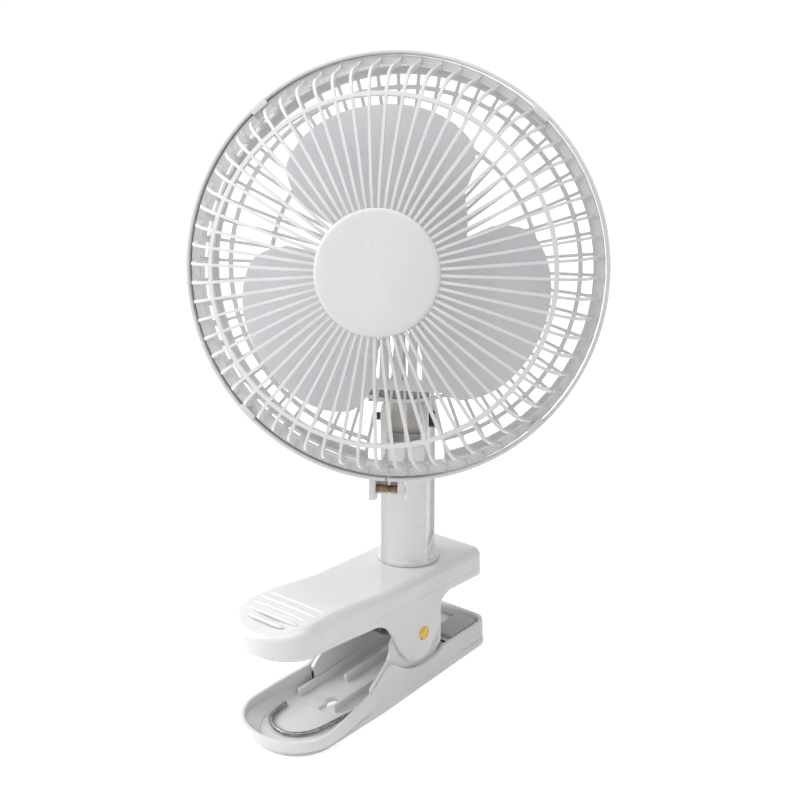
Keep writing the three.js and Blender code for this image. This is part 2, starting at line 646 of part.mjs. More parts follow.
// Rows of even depth along a run of (radius, distance forward) points.
function evenRows(run, deep, wide, bands) {
  const pts = run.map(v2);
  return pts.map((p, i) => {
    const d = pts[Math.min(i + 1, pts.length - 1)].clone().sub(pts[Math.max(i - 1, 0)]).normalize();
    const side = new THREE.Vector2(-d.y, d.x).multiplyScalar(deep / 2);
    const front = p.clone().add(side);
    const back = p.clone().sub(side);
    return { wide, front: [front.x, front.y], back: [back.x, back.y], band: bands.includes(i) };
  });
}

function frontGuard() {
  const run = [[22, 43.8], [30.5, 43.8], [77.6, 35], [79.4, 34.6], [87.2, 30.4], [95.2, 3.2]];
  const rows = evenRows(run, SPOKE_DEEP, SPOKE_WIDE, [0, 2]);
  rows.push({ wide: SPOKE_WIDE, front: [RIM_R, 2.2], back: [94, 1.8], band: true });
  rows.push({ wide: SPOKE_WIDE, front: [RIM_R, -3.8], back: [94, -3.8], band: false });
  return cage(rows, SPOKES);
}

function backCage() {
  const flat = (r, band, open) => ({
    wide: RIB_WIDE, front: [r, BACK_A], back: [r, BACK_A - BACK_THICK], band, open,
  });
  const wall = (a, outer, band) => ({ wide: 3.2, front: [SIDE_IN, a], back: [outer, a], band });
  const openGaps = [42, 43, 44, 45];
  const corner = { wide: 3.2, front: [SIDE_IN, BACK_A], back: [SIDE_OUT - 0.8, BACK_A - BACK_THICK], band: true };
  return cage([
    flat(27, false), flat(64, true), flat(66, false), flat(84.4, true, openGaps), corner,
    wall(-17, SIDE_OUT, false), wall(-9, SIDE_OUT, true), wall(-5.7, RIM_R, true), wall(-4.1, RIM_R, false),
  ], BACK_RIBS);
}

function centrePlate() {
  const foot = PLATE_FOOT;
  const right = [[PLATE_HALF - 4, foot], [PLATE_HALF, foot + 5], [PLATE_HALF, 26], [28, 42], [20, PLATE_TOP]];
  return slabA([...right, ...mirrored(right).reverse()], BACK_A - BACK_THICK, PLATE_A);
}

function rearGuard() {
  const slots = [3.5, 10.4, 17.3].flatMap((x) => [x, -x].map((c) => {
    const wide = 1.35;
    const outline = [[c - wide, -53], [c, -54.2], [c + wide, -53], [c + wide, -30], [c - wide, -30]];
    return slabA(outline, -30, -10);
  }));
  const screwHoles = [[29.3, 0], [-29.3, 0], [12, PLATE_FOOT + 1.6], [-12, PLATE_FOOT + 1.6]];
  return cut(backCage().add(centrePlate()), [
    ...slots,
    rodA(0, 0, 6, -30, 0, 16),
    ...screwHoles.map(([x, z]) => rodA(x, z, 1.3 + GAP, -30, PLATE_A - 1.5, 8)),
  ]);
}

function clampHoop() {
  const section = [[HOOP_R, -6.2], [HOOP_R, 4.4], [HOOP_IN, 4.4], [HOOP_IN, -6.2]];
  const tabs = [48, 132, 226, 315].map((angle) => {
    const g = new THREE.BoxGeometry(3.4, 1.3, 9);
    g.translate(HOOP_R - 1.9, -4.55, 0).rotateY(-rad(angle));
    return solid(g);
  });
  const lugs = [
    blockA(LUG_IN, LUG_OUT, -5, 3, -110.5, -99), blockA(-LUG_OUT, -LUG_IN, -5, 3, -110.5, -99),
    blockA(0.5, LUG_IN + 1, -5.6, -4, -108, -99), blockA(-LUG_IN - 1, -0.5, -5.6, -4, -108, -99),
  ];
  return cut(joined([turned(section, 48, 0), ...tabs, ...lugs]), [
    blockA(-0.5, 0.5, -12, 12, -115, -90),
    rod("x", 0.5, CLAMP_Z, CLAMP_R + GAP, -20, 20, 10),
  ]);
}

function guardPieces() {
  piece(fan, "front_guard", frontGuard(), WHITE, 0.3);
  piece(fan, "rear_guard", rearGuard(), WHITE, 0.35);
  const cap = turned([[0, 45.1], [CAP_R, 45.1], [CAP_R, 45.8], [CAP_R - 2, 46.4], [14, 46.9], [0, 47.1]], 36);
  piece(fan, "front_cap", cap, WHITE, 0.3);
  piece(fan, "clamp_hoop", clampHoop(), WHITE, 0.3);
  const seat = LUG_OUT + GAP;
  const screw = rod("x", 0.5, CLAMP_Z, CLAMP_R, -seat - 3, seat + 1, 12).add(rod("x", 0.5, CLAMP_Z, 3.2, seat, seat + 2.2, 12));
  piece(fan, "clamp_screw", screw, BRASS, 0.3, 1);
  const nut = cut(rod("x", 0.5, CLAMP_Z, 3.3, -seat - 2.2, -seat, 6), [rod("x", 0.5, CLAMP_Z, CLAMP_R + GAP, -30, 0, 12)]);
  piece(fan, "clamp_nut", nut, BRASS, 0.35, 1);
}

// ---- the motor and its housing ------------------------------------------------------------
function housing() {
  const front = BACK_A - BACK_THICK - GAP;
  const inner = HOUSING_R - HOUSING_WALL;
  const cup = turned([
    [inner, front], [HOUSING_R, front], [HOUSING_R, HOUSING_BACK + 5], [HOUSING_R - 4, HOUSING_BACK],
    [0, HOUSING_BACK], [0, HOUSING_BACK + 2], [inner - 4, HOUSING_BACK + 2], [inner, HOUSING_BACK + 7],
  ], 24);
  const ears = [blockA(26, 32.5, front - 2.4, front, -4, 4), blockA(-32.5, -26, front - 2.4, front, -4, 4)];
  const vents = [-16, -12, 12, 16].map((z) => blockA(-11, 11, HOUSING_BACK - 1, HOUSING_BACK + 3, z - 1, z + 1));
  return cut(joined([cup, ...ears]), [
    ...vents,
    rodA(0, 0, 6.6, HOUSING_BACK - 1, HOUSING_BACK + 3, 16),
    rodA(29.3, 0, 1.3 + GAP, -40, 0, 8),
    rodA(-29.3, 0, 1.3 + GAP, -40, 0, 8),
    rod("z", 0, 50, 2.6 + GAP, -40, -20, 12),
  ]);
}

function stator() {
  const outline = [[STATOR_HALF, -19], [STATOR_HALF, 10], [11, 13.5], [-11, 13.5], [-STATOR_HALF, 10], [-STATOR_HALF, -19]];
  const bore = ring(0, 0, ROTOR_R + 0.5, 24);
  const slot = [[-11, -15.8], [11, -15.8], [11, -12.6], [-11, -12.6]];
  const ends = [13, -13].map((x) => rodA(x, 0, 1.2 + GAP, -50, -20, 8));
  return cut(slabA(outline, -42, -30, [bore, slot]), ends);
}

function motorBridge(a0, a1, feetA0, feetA1) {
  const body = joined([
    blockA(-15, 15, a0, a1, -4, 4),
    blockA(11, 15, feetA0, feetA1, -4, 4), blockA(-15, -11, feetA0, feetA1, -4, 4),
  ]);
  return cut(body, [rodA(0, 0, 3 + GAP, -60, 0, 16), ...[13, -13].map((x) => rodA(x, 0, 1.2 + GAP, -60, 0, 8))]);
}

function motorPieces() {
  piece(fan, "motor_housing", housing(), WHITE, 0.4);
  piece(fan, "motor_stator", stator(), DARK_STEEL, 0.5, 1);
  const coil = cut(blockA(-9.5, 9.5, -45, -27, -22, -13), [blockA(-20, 20, -42.3, -29.7, -19.3, -15.5)]);
  piece(fan, "motor_coil", coil, 0xb5683a, 0.4, 0.6);
  piece(fan, "motor_bracket_front", motorBridge(-28.4, -26.4, -29.7, -28.3), STEEL, 0.4, 1);
  piece(fan, "motor_bracket_rear", motorBridge(-45.8, -43.8, -43.9, -42.3), STEEL, 0.4, 1);
  const bush = (a0, a1) => cut(rodA(0, 0, 3, a0, a1, 16), [rodA(0, 0, SHAFT_R + GAP, -60, 0, 12)]);
  piece(fan, "bearing_front", bush(-29, -25.8), BRASS, 0.4, 1);
  piece(fan, "bearing_rear", bush(-46.4, -43.2), BRASS, 0.4, 1);
  [["motor_screw_right", 13], ["motor_screw_left", -13]].forEach(([name, x]) => {
    const body = rodA(x, 0, 1.2, -47.5, -25.8, 8).add(rodA(x, 0, 2.2, -26.1, -24.8, 12));
    piece(fan, name, body, STEEL, 0.3, 1);
  });
  [["housing_screw_right", 29.3], ["housing_screw_left", -29.3]].forEach(([name, x]) => {
    const seat = BACK_A - BACK_THICK - 2.4 - 2 * GAP;
    const body = rodA(x, 0, 1.3, seat - 0.2, PLATE_A - 2, 8).add(rodA(x, 0, 2.4, seat - 1.5, seat, 12));
    piece(fan, name, body, STEEL, 0.3, 1);
  });
  const gland = joined([rod("z", 0, 50, 2.6, -29, -23.5, 12), rod("z", 0, 50, 4, -30.4, -27.4, 12)]);
  piece(fan, "cable_gland", cut(gland, [rod("z", 0, 50, 1.6, -32, -20, 10)]), 0x2b2c2e, 0.7);
}

function switchPieces() {
  const body = cut(
    joined([rodA(0, 0, 6.2, -59, -49, 16), rodA(0, 0, 8, HOUSING_BACK - 1.4, HOUSING_BACK - GAP, 20)]),
    [rodA(0, 0, BUTTON_R + 0.4, -70, -51, 16)],
  );
  piece(fan, "switch_body", body, 0x2b2c2e, 0.6);
  piece(fan, "switch_button", rodA(0, 0, BUTTON_R, -63, -54, 16), 0x3a3c40, 0.5);
}

// ---- the rotor -----------------------------------------------------------------------------
// One blade: a skewed sheet over u (across, -1 to 1) and v (root to tip), closed round its edge.
function blade(angle) {
  const nu = 6;
  const nv = 4;
  const at = (u, v, side) => {
    const reach = BLADE_TIP - 9.5 * Math.abs(u / 0.89) ** 3 - 250 * Math.max(0, Math.abs(u) - 0.8) ** 2;
    const r = BLADE_ROOT + (reach - BLADE_ROOT) * v;
    const t = rad(angle + u * (28 + 19.5 * Math.sin((Math.PI / 2) * Math.min(1, 1.4 * v))));
    const a = 9 + u * 7.5 + side * (BLADE_THICK / 2);
    return new THREE.Vector3(r * Math.cos(t), -a, r * Math.sin(t));
  };
  const points = [];
  [1, -1].forEach((side) => {
    for (let i = 0; i <= nu; i++) for (let k = 0; k <= nv; k++) points.push(at((2 * i) / nu - 1, k / nv, side));
  });
  const id = (side, i, k) => side * (nu + 1) * (nv + 1) + i * (nv + 1) + k;
  const index = [];
  const quad = (a, b, c, d) => index.push(a, b, c, a, c, d);
  for (let i = 0; i < nu; i++) {
    for (let k = 0; k < nv; k++) {
      quad(id(0, i, k), id(0, i + 1, k), id(0, i + 1, k + 1), id(0, i, k + 1));
      quad(id(1, i, k), id(1, i, k + 1), id(1, i + 1, k + 1), id(1, i + 1, k));
    }
    quad(id(0, i, 0), id(1, i, 0), id(1, i + 1, 0), id(0, i + 1, 0));
    quad(id(0, i + 1, nv), id(1, i + 1, nv), id(1, i, nv), id(0, i, nv));
  }
  for (let k = 0; k < nv; k++) {
    quad(id(0, 0, k + 1), id(1, 0, k + 1), id(1, 0, k), id(0, 0, k));
    quad(id(0, nu, k), id(1, nu, k), id(1, nu, k + 1), id(0, nu, k + 1));
  }
  const g = new THREE.BufferGeometry().setFromPoints(points);
  g.setIndex(index);
  return solid(g);
}

function rotorPieces() {
  const hub = turned([[0, 0], [HUB_R, 0], [HUB_R, 17], [HUB_R - 2, 19], [0, 19]], 18);
  const blades = cut(joined([hub, blade(97.5), blade(-22.5), blade(-142.5)]), [
    rodA(0, 0, SHAFT_R + GAP, -5, 25, 12),
  ]);
  piece(fan, "fan_blades", blades, 0xdfe4e6, 0.3);
  piece(fan, "motor_shaft", rodA(0, 0, SHAFT_R, -47.5, 22.5, 12), STEEL, 0.25, 1);
  const nut = cut(rodA(0, 0, 4, 19 + GAP, 22, 6), [rodA(0, 0, SHAFT_R + GAP, 0, 30, 12)]);
  piece(fan, "blade_nut", nut, STEEL, 0.3, 1);
  const core = cut(rodA(0, 0, ROTOR_R, -42.6, -29.4, 24), [rodA(0, 0, SHAFT_R + GAP, -60, 0, 12)]);
  piece(fan, "rotor_core", core, DARK_STEEL, 0.5, 1);
}

trayPieces();
springPiece();
upperPieces();
neckPieces();
armPieces();
guardPieces();
motorPieces();
switchPieces();
rotorPieces();

export default group;
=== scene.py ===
"""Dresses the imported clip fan: moulded plastic, springs, screws, floor, lamps and camera.

Run as a script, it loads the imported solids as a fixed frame, registers the operators below and
calls them in order. Every piece is laid out in millimetres in the frame of the part that carries
it, then put into the row's frame in metres.
"""

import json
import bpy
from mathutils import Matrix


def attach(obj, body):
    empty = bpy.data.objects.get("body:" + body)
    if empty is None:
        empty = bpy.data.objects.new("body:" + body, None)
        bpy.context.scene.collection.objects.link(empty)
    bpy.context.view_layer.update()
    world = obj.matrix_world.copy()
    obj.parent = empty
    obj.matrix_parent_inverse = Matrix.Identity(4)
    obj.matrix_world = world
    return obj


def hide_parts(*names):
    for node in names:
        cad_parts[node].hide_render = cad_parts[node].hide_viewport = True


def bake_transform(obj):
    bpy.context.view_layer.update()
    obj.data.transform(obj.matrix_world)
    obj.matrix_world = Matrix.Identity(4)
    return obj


bl_info = {
    "name": "Clip fan",
    "version": (1, 0, 0),
    "blender": (4, 5, 0),
    "location": "View3D > Sidebar > Clip fan",
    "description": "Builds the visible pieces of a small clip fan round its packed solids",
    "category": "Object",
}

import bmesh
import bpy
import numpy as np
from mathutils import Matrix, Vector

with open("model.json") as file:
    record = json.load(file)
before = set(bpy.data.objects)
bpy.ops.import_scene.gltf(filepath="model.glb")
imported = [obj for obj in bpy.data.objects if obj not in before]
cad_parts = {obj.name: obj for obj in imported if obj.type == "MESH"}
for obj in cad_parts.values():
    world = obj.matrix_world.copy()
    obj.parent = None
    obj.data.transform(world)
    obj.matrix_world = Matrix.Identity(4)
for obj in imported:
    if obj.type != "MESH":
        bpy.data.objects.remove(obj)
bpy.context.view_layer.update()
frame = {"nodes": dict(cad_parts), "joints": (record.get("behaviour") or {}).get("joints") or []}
JOINTS = {joint["name"]: joint for joint in frame["joints"]}
MM = 0.001
TAU = 2 * np.pi


# ---- places: the frame of each part that carries something, from the joints -------------------
def place(origin, x_axis, y_axis, z_axis):
    """A function that takes points in mm in a part's own frame to metres in the row's frame."""
    axes = np.array([x_axis, y_axis, z_axis], float) * MM
    return lambda points: np.asarray(points, float) @ axes + np.asarray(origin, float)


SWIVEL = np.array(JOINTS["neck_swivel"]["axis"])
TILT = np.array(JOINTS["head_tilt"]["axis"])
SPIN = np.array(JOINTS["blade_spin"]["axis"])
SIDE = np.array([1.0, 0.0, 0.0])
ON_TRAY = place((0, 0, 0), SIDE, (0, 1, 0), (0, 0, 1))
ON_JAW = place((0, 0, 0), SIDE, np.cross(SWIVEL, SIDE), SWIVEL)
ON_NECK = place((0, 0, 0), TILT, np.cross(SWIVEL, TILT), SWIVEL)
ON_FAN = place(JOINTS["blade_spin"]["pos_m"], TILT, -SPIN, np.cross(TILT, -SPIN))


# ---- shapes as whole arrays ------------
def smooth(points, per=6):
    """Catmull-Rom curve: a cubic through the points whose slope at each is half its neighbours' step."""
    p = np.asarray(points, float)
    p = np.vstack([2 * p[0] - p[1], p, 2 * p[-1] - p[-2]])
    a, b, c, d = p[:-3], p[1:-2], p[2:-1], p[3:]
    t = np.linspace(0, 1, per, endpoint=False)[:, None, None]
    curve = 2 * b + (c - a) * t + (2 * a - 5 * b + 4 * c - d) * t**2 + (3 * b - a - 3 * c + d) * t**3
    return np.vstack([(curve / 2).transpose(1, 0, 2).reshape(-1, p.shape[1]), p[-2]])


def grid(points, wrap_u=False, wrap_v=False, ends=False):
    """A surface over a grid of points, closed along u or v on request; ends caps a tube's two mouths."""
    nu, nv = points.shape[:2]
    i = np.arange(nu if wrap_u else nu - 1)[:, None]
    k = np.arange(nv if wrap_v else nv - 1)[None, :]
    i2, k2 = (i + 1) % nu, (k + 1) % nv
    quads = np.stack([i * nv + k, i2 * nv + k, i2 * nv + k2, i * nv + k2], -1).reshape(-1, 4)
    faces = quads.tolist()
    if ends:
        faces += [list(range(nv)), [(nu - 1) * nv + n for n in range(nv)]]
    return points.reshape(-1, 3), faces


def turned(profile, sides=96, sweep=(0.0, TAU), shut=True):
    """A profile of (radius, distance forward) carried round the fan's axis: x = r cos t, z = r sin t."""
    r, a = np.asarray(profile, float).T
    whole = sweep[1] - sweep[0] >= TAU - 1e-9
    t = np.linspace(sweep[0], sweep[1], sides, endpoint=not whole)[:, None]
    points = np.stack([r * np.cos(t), -a * np.ones_like(t), r * np.sin(t)], -1)
    return grid(points, wrap_u=whole, wrap_v=shut, ends=shut and not whole)


def spun(profile, sides=48):
    """A profile of (radius, height) carried round Z; a radius of 0 closes it at the pole."""
    r, h = np.asarray(profile, float).T
    t = np.linspace(0, TAU, sides, endpoint=False)[:, None]
    return grid(np.stack([r * np.cos(t), r * np.sin(t), h * np.ones_like(t)], -1), wrap_u=True)


def softened(section, radius, steps=4):
    """A closed outline whose corners are rounded: each corner becomes a quadratic curve over radius."""
    p = np.asarray(section, float)
    before, after = np.roll(p, 1, 0) - p, np.roll(p, -1, 0) - p
    reach = lambda v: np.minimum(radius, np.linalg.norm(v, axis=1) / 2.01)[:, None]
    start = p + before / np.linalg.norm(before, axis=1)[:, None] * reach(before)
    end = p + after / np.linalg.norm(after, axis=1)[:, None] * reach(after)
    t = np.linspace(0, 1, steps + 1)[None, :, None]
    curve = (1 - t) ** 2 * start[:, None] + 2 * t * (1 - t) * p[:, None] + t**2 * end[:, None]
    return curve.reshape(-1, p.shape[1])


def tube(path, radius, sides=12):
    """A round tube along a path: circles square to the path, their start carried without twisting."""
    step = np.gradient(path, axis=0)
    step /= np.linalg.norm(step, axis=1)[:, None]
    side = np.empty_like(path)
    side[0] = np.cross(step[0], (0.3, 0.2, 1.0))
    for n in range(1, len(path)):
        side[n] = side[n - 1] - step[n] * (side[n - 1] @ step[n])
    side /= np.linalg.norm(side, axis=1)[:, None]
    other = np.cross(step, side)
    t = np.linspace(0, TAU, sides, endpoint=False)[None, :, None]
    ring = side[:, None] * np.cos(t) + other[:, None] * np.sin(t)
    return grid(path[:, None] + ring * radius, wrap_v=True, ends=True)


def plate(outline, low, high, edge=0.5, holes=()):
    """A flat plate between two heights, cut from an outline with holes, with rolled edges."""
    curve = bpy.data.curves.new("plate", "CURVE")
    curve.dimensions, curve.fill_mode = "2D", "BOTH"
    curve.extrude, curve.bevel_depth = (high - low) / 2 - edge, edge
    curve.bevel_resolution, curve.offset = 2, -edge
    for loop in (outline, *holes):
        loop = np.asarray(loop, float)
        spline = curve.splines.new("POLY")
        spline.points.add(len(loop) - 1)
        rows = np.column_stack([loop, np.zeros(len(loop)), np.ones(len(loop))])
        spline.points.foreach_set("co", rows.ravel())
        spline.use_cyclic_u = True
    holder = bpy.data.objects.new("plate", curve)
    mesh = bpy.data.meshes.new_from_object(holder)
    points = np.empty(len(mesh.vertices) * 3)
    mesh.vertices.foreach_get("co", points)
    faces = [list(face.vertices) for face in mesh.polygons]
    bpy.data.objects.remove(holder)
    bpy.data.curves.remove(curve)
    bpy.data.meshes.remove(mesh)
    points = points.reshape(-1, 3)
    points[:, 2] += (low + high) / 2
    return points, faces


def across_x(shape):
    """A shape laid out over (y, z) with its thickness along x."""
    points, faces = shape
    return points[:, [2, 0, 1]], faces


def across_y(shape):
    """A shape laid out over (x, z) with its thickness forward, along -y."""
    points, faces = shape
    return np.stack([points[:, 0], -points[:, 2], points[:, 1]], 1), faces


def circle(u, v, r, sides=40):
    t = np.linspace(0, TAU, sides, endpoint=False)
    return np.stack([u + r * np.cos(t), v + r * np.sin(t)], 1)


def rectangle(x0, x1, y0, y1, round_by=0.6):
    return softened([(x0, y0), (x1, y0), (x1, y1), (x0, y1)], round_by)


def repeated(shape, count, first=0.0):
    """Copies of a shape turned about the fan's axis at even steps."""
    points, faces = shape
    t = (first + np.arange(count) * TAU / count)[:, None]
    x, y, z = points.T
    turned_points = np.stack(
        [x * np.cos(t) - z * np.sin(t), y * np.ones_like(t), x * np.sin(t) + z * np.cos(t)], -1
    )
    shift = len(points)
    return turned_points.reshape(-1, 3), [[v + n * shift for v in f] for n in range(count) for f in faces]


def turned_by(shape, degrees):
    return repeated(shape, 1, np.radians(degrees))


def cage(rows, count):
    """A cage about the fan's axis: bars along the rows, two points wide and two deep, and bands.

    Each row is (bar width, (radius, forward) of the back, of the front, band to the next row or
    not, gaps left open). A bar's edge stands off its middle by arcsin(half width / radius).
    """
    wide = np.array([row[0] for row in rows])[:, None, None]
    skin = np.array([[row[1], row[2]] for row in rows], float)
    r, a = skin[:, None, :, 0], skin[:, None, :, 1]
    edge = np.array([-1, 1])[None, :, None] * np.arcsin(wide / 2 / r)
    t = np.arange(count)[:, None, None, None] * TAU / count + edge[None]
    points = np.stack([r * np.cos(t), -a * np.ones_like(t), r * np.sin(t)], -1)
    n = len(rows)
    s = np.arange(count)
    at = lambda gap, row, side, face: (((s + gap) % count) * n + row) * 4 + side * 2 + face
    band = np.zeros((n + 1, count), bool)
    for row, (_, _, _, solid, open_gaps) in enumerate(rows[:-1]):
        band[row + 1] = solid
        band[row + 1, list(open_gaps)] = False
    faces = []

    def quads(corners, where=slice(None)):
        faces.extend(np.stack(corners, -1)[where].tolist())

    for row in range(n - 1):
        solid, gap = band[row + 1], ~band[row + 1]
        nxt = row + 1
        quads([at(0, row, 0, 1), at(0, row, 1, 1), at(0, nxt, 1, 1), at(0, nxt, 0, 1)])
        quads([at(0, row, 0, 0), at(0, nxt, 0, 0), at(0, nxt, 1, 0), at(0, row, 1, 0)])
        quads([at(0, row, 1, 1), at(1, row, 0, 1), at(1, nxt, 0, 1), at(0, nxt, 1, 1)], solid)
        quads([at(0, row, 1, 0), at(0, nxt, 1, 0), at(1, nxt, 0, 0), at(1, row, 0, 0)], solid)
        quads([at(0, row, 1, 0), at(0, nxt, 1, 0), at(0, nxt, 1, 1), at(0, row, 1, 1)], gap)
        quads([at(1, row, 0, 0), at(1, row, 0, 1), at(1, nxt, 0, 1), at(1, nxt, 0, 0)], gap)
    for row in range(n):
        before, after = band[row], band[row + 1] if row < n - 1 else np.zeros(count, bool)
        quads([at(0, row, 1, 0), at(0, row, 1, 1), at(1, row, 0, 1), at(1, row, 0, 0)], before & ~after)
        quads([at(0, row, 1, 0), at(1, row, 0, 0), at(1, row, 0, 1), at(0, row, 1, 1)], after & ~before)
    quads([at(0, 0, 0, 0), at(0, 0, 1, 0), at(0, 0, 1, 1), at(0, 0, 0, 1)])
    last = n - 1
    quads([at(0, last, 0, 0), at(0, last, 0, 1), at(0, last, 1, 1), at(0, last, 1, 0)])
    return points.reshape(-1, 3), faces


def even_rows(path, deep, wide, bands=()):
    """Cage rows of one depth along a path of (radius, forward), bands naming the solid steps."""
    step = np.gradient(path, axis=0)
    side = np.stack([-step[:, 1], step[:, 0]], 1) / np.linalg.norm(step, axis=1)[:, None] * deep / 2
    return [(wide, p - s, p + s, n in bands, ()) for n, (p, s) in enumerate(zip(path, side))]


# ---- pieces ------------
def new_object(name, data):
    """An object in the scene that shows a mesh or holds a lamp or a camera."""
    made = bpy.data.objects.new(name, data)
    bpy.context.scene.collection.objects.link(made)
    return made


def new_piece(name, shapes, put, body, nodes, material, bevel=0.0, sharp=35.0):
    """One object from shapes in a part's own frame: welded, faces out, riding on its body."""
    mesh = bpy.data.meshes.new(name)
    verts, faces, shift = [], [], 0
    for points, polygons in shapes:
        verts.append(points)
        faces.extend([[v + shift for v in polygon] for polygon in polygons])
        shift += len(points)
    mesh.from_pydata(put(np.vstack(verts)).tolist(), [], faces)
    finish_mesh(mesh, sharp)
    piece = new_object(name, mesh)
    dress(piece, body, nodes, material, bevel)
    return piece


def finish_mesh(mesh, sharp, packed=False):
    """Weld a mesh, turn its faces out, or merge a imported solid's triangles into flats; shade it."""
    work = bmesh.new()
    work.from_mesh(mesh)
    bmesh.ops.remove_doubles(work, verts=work.verts, dist=2e-6)
    if packed:
        bmesh.ops.dissolve_limit(work, angle_limit=np.radians(0.5), verts=work.verts, edges=work.edges)
    else:
        bmesh.ops.recalc_face_normals(work, faces=work.faces)
    work.to_mesh(mesh)
    work.free()
    mesh.shade_smooth()
    mesh.set_sharp_from_angle(angle=np.radians(sharp))


def rounded_solid(node, body, material, bevel=0.5):
    """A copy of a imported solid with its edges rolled."""
    mesh = frame["nodes"][node].data.copy()
    finish_mesh(mesh, 35.0, packed=True)
    dress(new_object(node + "_moulded", mesh), body, [node], material, bevel)


def dress(piece, body, nodes, material, bevel):
    if bevel:
        roll = piece.modifiers.new("rolled_edges", "BEVEL")
        roll.width, roll.segments, roll.limit_method = bevel * MM, 2, "ANGLE"
        roll.angle_limit, roll.harden_normals = np.radians(35), True
        roll.use_clamp_overlap = True
    piece.data.materials.clear()
    piece.data.materials.append(material)
    if body:
        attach(piece, body)
    if nodes:
        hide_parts(*nodes)


# ---- finishes ------------
def linear(hex_colour):
    """An sRGB hex colour as linear RGBA."""
    c = np.array([int(hex_colour[n : n + 2], 16) for n in (1, 3, 5)]) / 255
    c = np.where(c <= 0.04045, c / 12.92, ((c + 0.055) / 1.055) ** 2.4)
    return (*c.tolist(), 1.0)


def add_node(tree, kind, inputs=None, **settings):
    """One shader node with its settings; an input is a value, or the output that feeds it."""
    node = tree.nodes.new(kind)
    for key, value in settings.items():
        setattr(node, key, value)
    for key, value in (inputs or {}).items():
        if isinstance(value, bpy.types.NodeSocket):
            tree.links.new(value, node.inputs[key])
        else:
            node.inputs[key].default_value = value
    return node


def new_material(name):
    material = bpy.data.materials.new(name)
    material.use_nodes = True
    material.node_tree.nodes.clear()
    tree = material.node_tree
    place_in = add_node(tree, "ShaderNodeTexCoord").outputs["Object"]
    return material, tree, place_in


def shown(tree, shader):
    add_node(tree, "ShaderNodeOutputMaterial", {"Surface": shader})


def noise(tree, coords, size_mm, detail=3.0, rough=0.5):
    """Noise whose features are about size_mm wide."""
    return add_node(
        tree, "ShaderNodeTexNoise",
        {"Vector": coords, "Scale": 1 / (size_mm * MM), "Detail": detail, "Roughness": rough},
    ).outputs["Fac"]


def span(tree, value, low, high, to_low, to_high):
    """A value carried from one range to another and held at its ends."""
    return add_node(
        tree, "ShaderNodeMapRange",
        {"Value": value, "From Min": low, "From Max": high, "To Min": to_low, "To Max": to_high},
    ).outputs["Result"]


def mixed(tree, amount, a, b):
    return add_node(tree, "ShaderNodeMix", {0: amount, 6: a, 7: b}, data_type="RGBA").outputs[2]


def maths(tree, operation, a, b):
    return add_node(tree, "ShaderNodeMath", {0: a, 1: b}, operation=operation).outputs[0]


def principled(tree, inputs):
    return add_node(tree, "ShaderNodeBsdfPrincipled", inputs).outputs[0]


def bumps(tree, height, depth_mm, under=None):
    inputs = {"Height": height, "Distance": depth_mm * MM, "Strength": 1.0}
    if under is not None:
        inputs["Normal"] = under
    return add_node(tree, "ShaderNodeBump", inputs).outputs["Normal"]


def moulded_plastic(name, colour, shade, roughness, wave_mm=0.006, coat=0.0, dirt=None):
    """Injection-moulded ABS: a faint cloudiness, a soft wave from the mould, rub marks in the gloss."""
    material, tree, coords = new_material(name)
    cloud = span(tree, noise(tree, coords, 38, 2), 0.35, 0.65, 0, 1)
    base = mixed(tree, cloud, colour, shade)
    rub = noise(tree, coords, 6, 5, 0.65)
    rough = span(tree, rub, 0.3, 0.75, roughness * 0.8, roughness * 1.35)
    if dirt:
        base = dirt(tree, coords, base)
    wave = bumps(tree, noise(tree, coords, 9, 1), wave_mm)
    grain = bumps(tree, noise(tree, coords, 0.9, 2), 0.0012, wave)
    shown(tree, principled(tree, {
        "Base Color": base, "Roughness": rough, "IOR": 1.53, "Normal": grain, "Coat Weight": coat,
        "Coat Roughness": 0.05, "Coat IOR": 1.5}))
    return material


def tray_specks(tree, coords, base):
    """Small rust-brown specks and dust lying on the tray's floor, thinning out above it."""
    height = add_node(tree, "ShaderNodeSeparateXYZ", {"Vector": coords}).outputs["Z"]
    low = span(tree, height, 0.0015, 0.0075, 1, 0)
    speck = span(tree, noise(tree, coords, 1.6, 2, 0.6), 0.69, 0.74, 0, 1)
    patch = span(tree, noise(tree, coords, 14, 2), 0.5, 0.62, 0, 1)
    marks = maths(tree, "MULTIPLY", maths(tree, "MULTIPLY", speck, patch), low)
    return mixed(tree, marks, base, linear("#8a5a38"))


def foot_stain(tree, coords, base):
    """A faint orange-brown tide mark where the pillar's foot meets the clip."""
    local = add_node(
        tree, "ShaderNodeVectorMath", {0: coords, 1: tuple(SWIVEL)}, operation="DOT_PRODUCT"
    ).outputs["Value"]
    low = span(tree, local, 0.0592, 0.0606, 1, 0)
    patch = span(tree, noise(tree, coords, 4, 3), 0.48, 0.62, 0, 1)
    marks = maths(tree, "MULTIPLY", maths(tree, "MULTIPLY", low, patch), 0.45)
    return mixed(tree, marks, base, linear("#c9a27c"))


def milky_blade():
    """Unfilled moulded styrene, milky and a little see-through, with a satin skin."""
    material, tree, coords = new_material("milky moulded styrene")
    cloud = span(tree, noise(tree, coords, 45, 2), 0.3, 0.7, 0, 1)
    base = mixed(tree, cloud, linear("#f2f2f4"), linear("#ecebee"))
    rough = span(tree, noise(tree, coords, 8, 4), 0.3, 0.7, 0.3, 0.42)
    wave = bumps(tree, noise(tree, coords, 12, 1), 0.01)
    body = principled(tree, {"Base Color": base, "Roughness": rough, "IOR": 1.58, "Normal": wave})
    through = add_node(tree, "ShaderNodeBsdfTranslucent", {"Color": base, "Normal": wave}).outputs[0]
    shown(tree, add_node(tree, "ShaderNodeMixShader", {0: 0.45, 1: body, 2: through}).outputs[0])
    return material


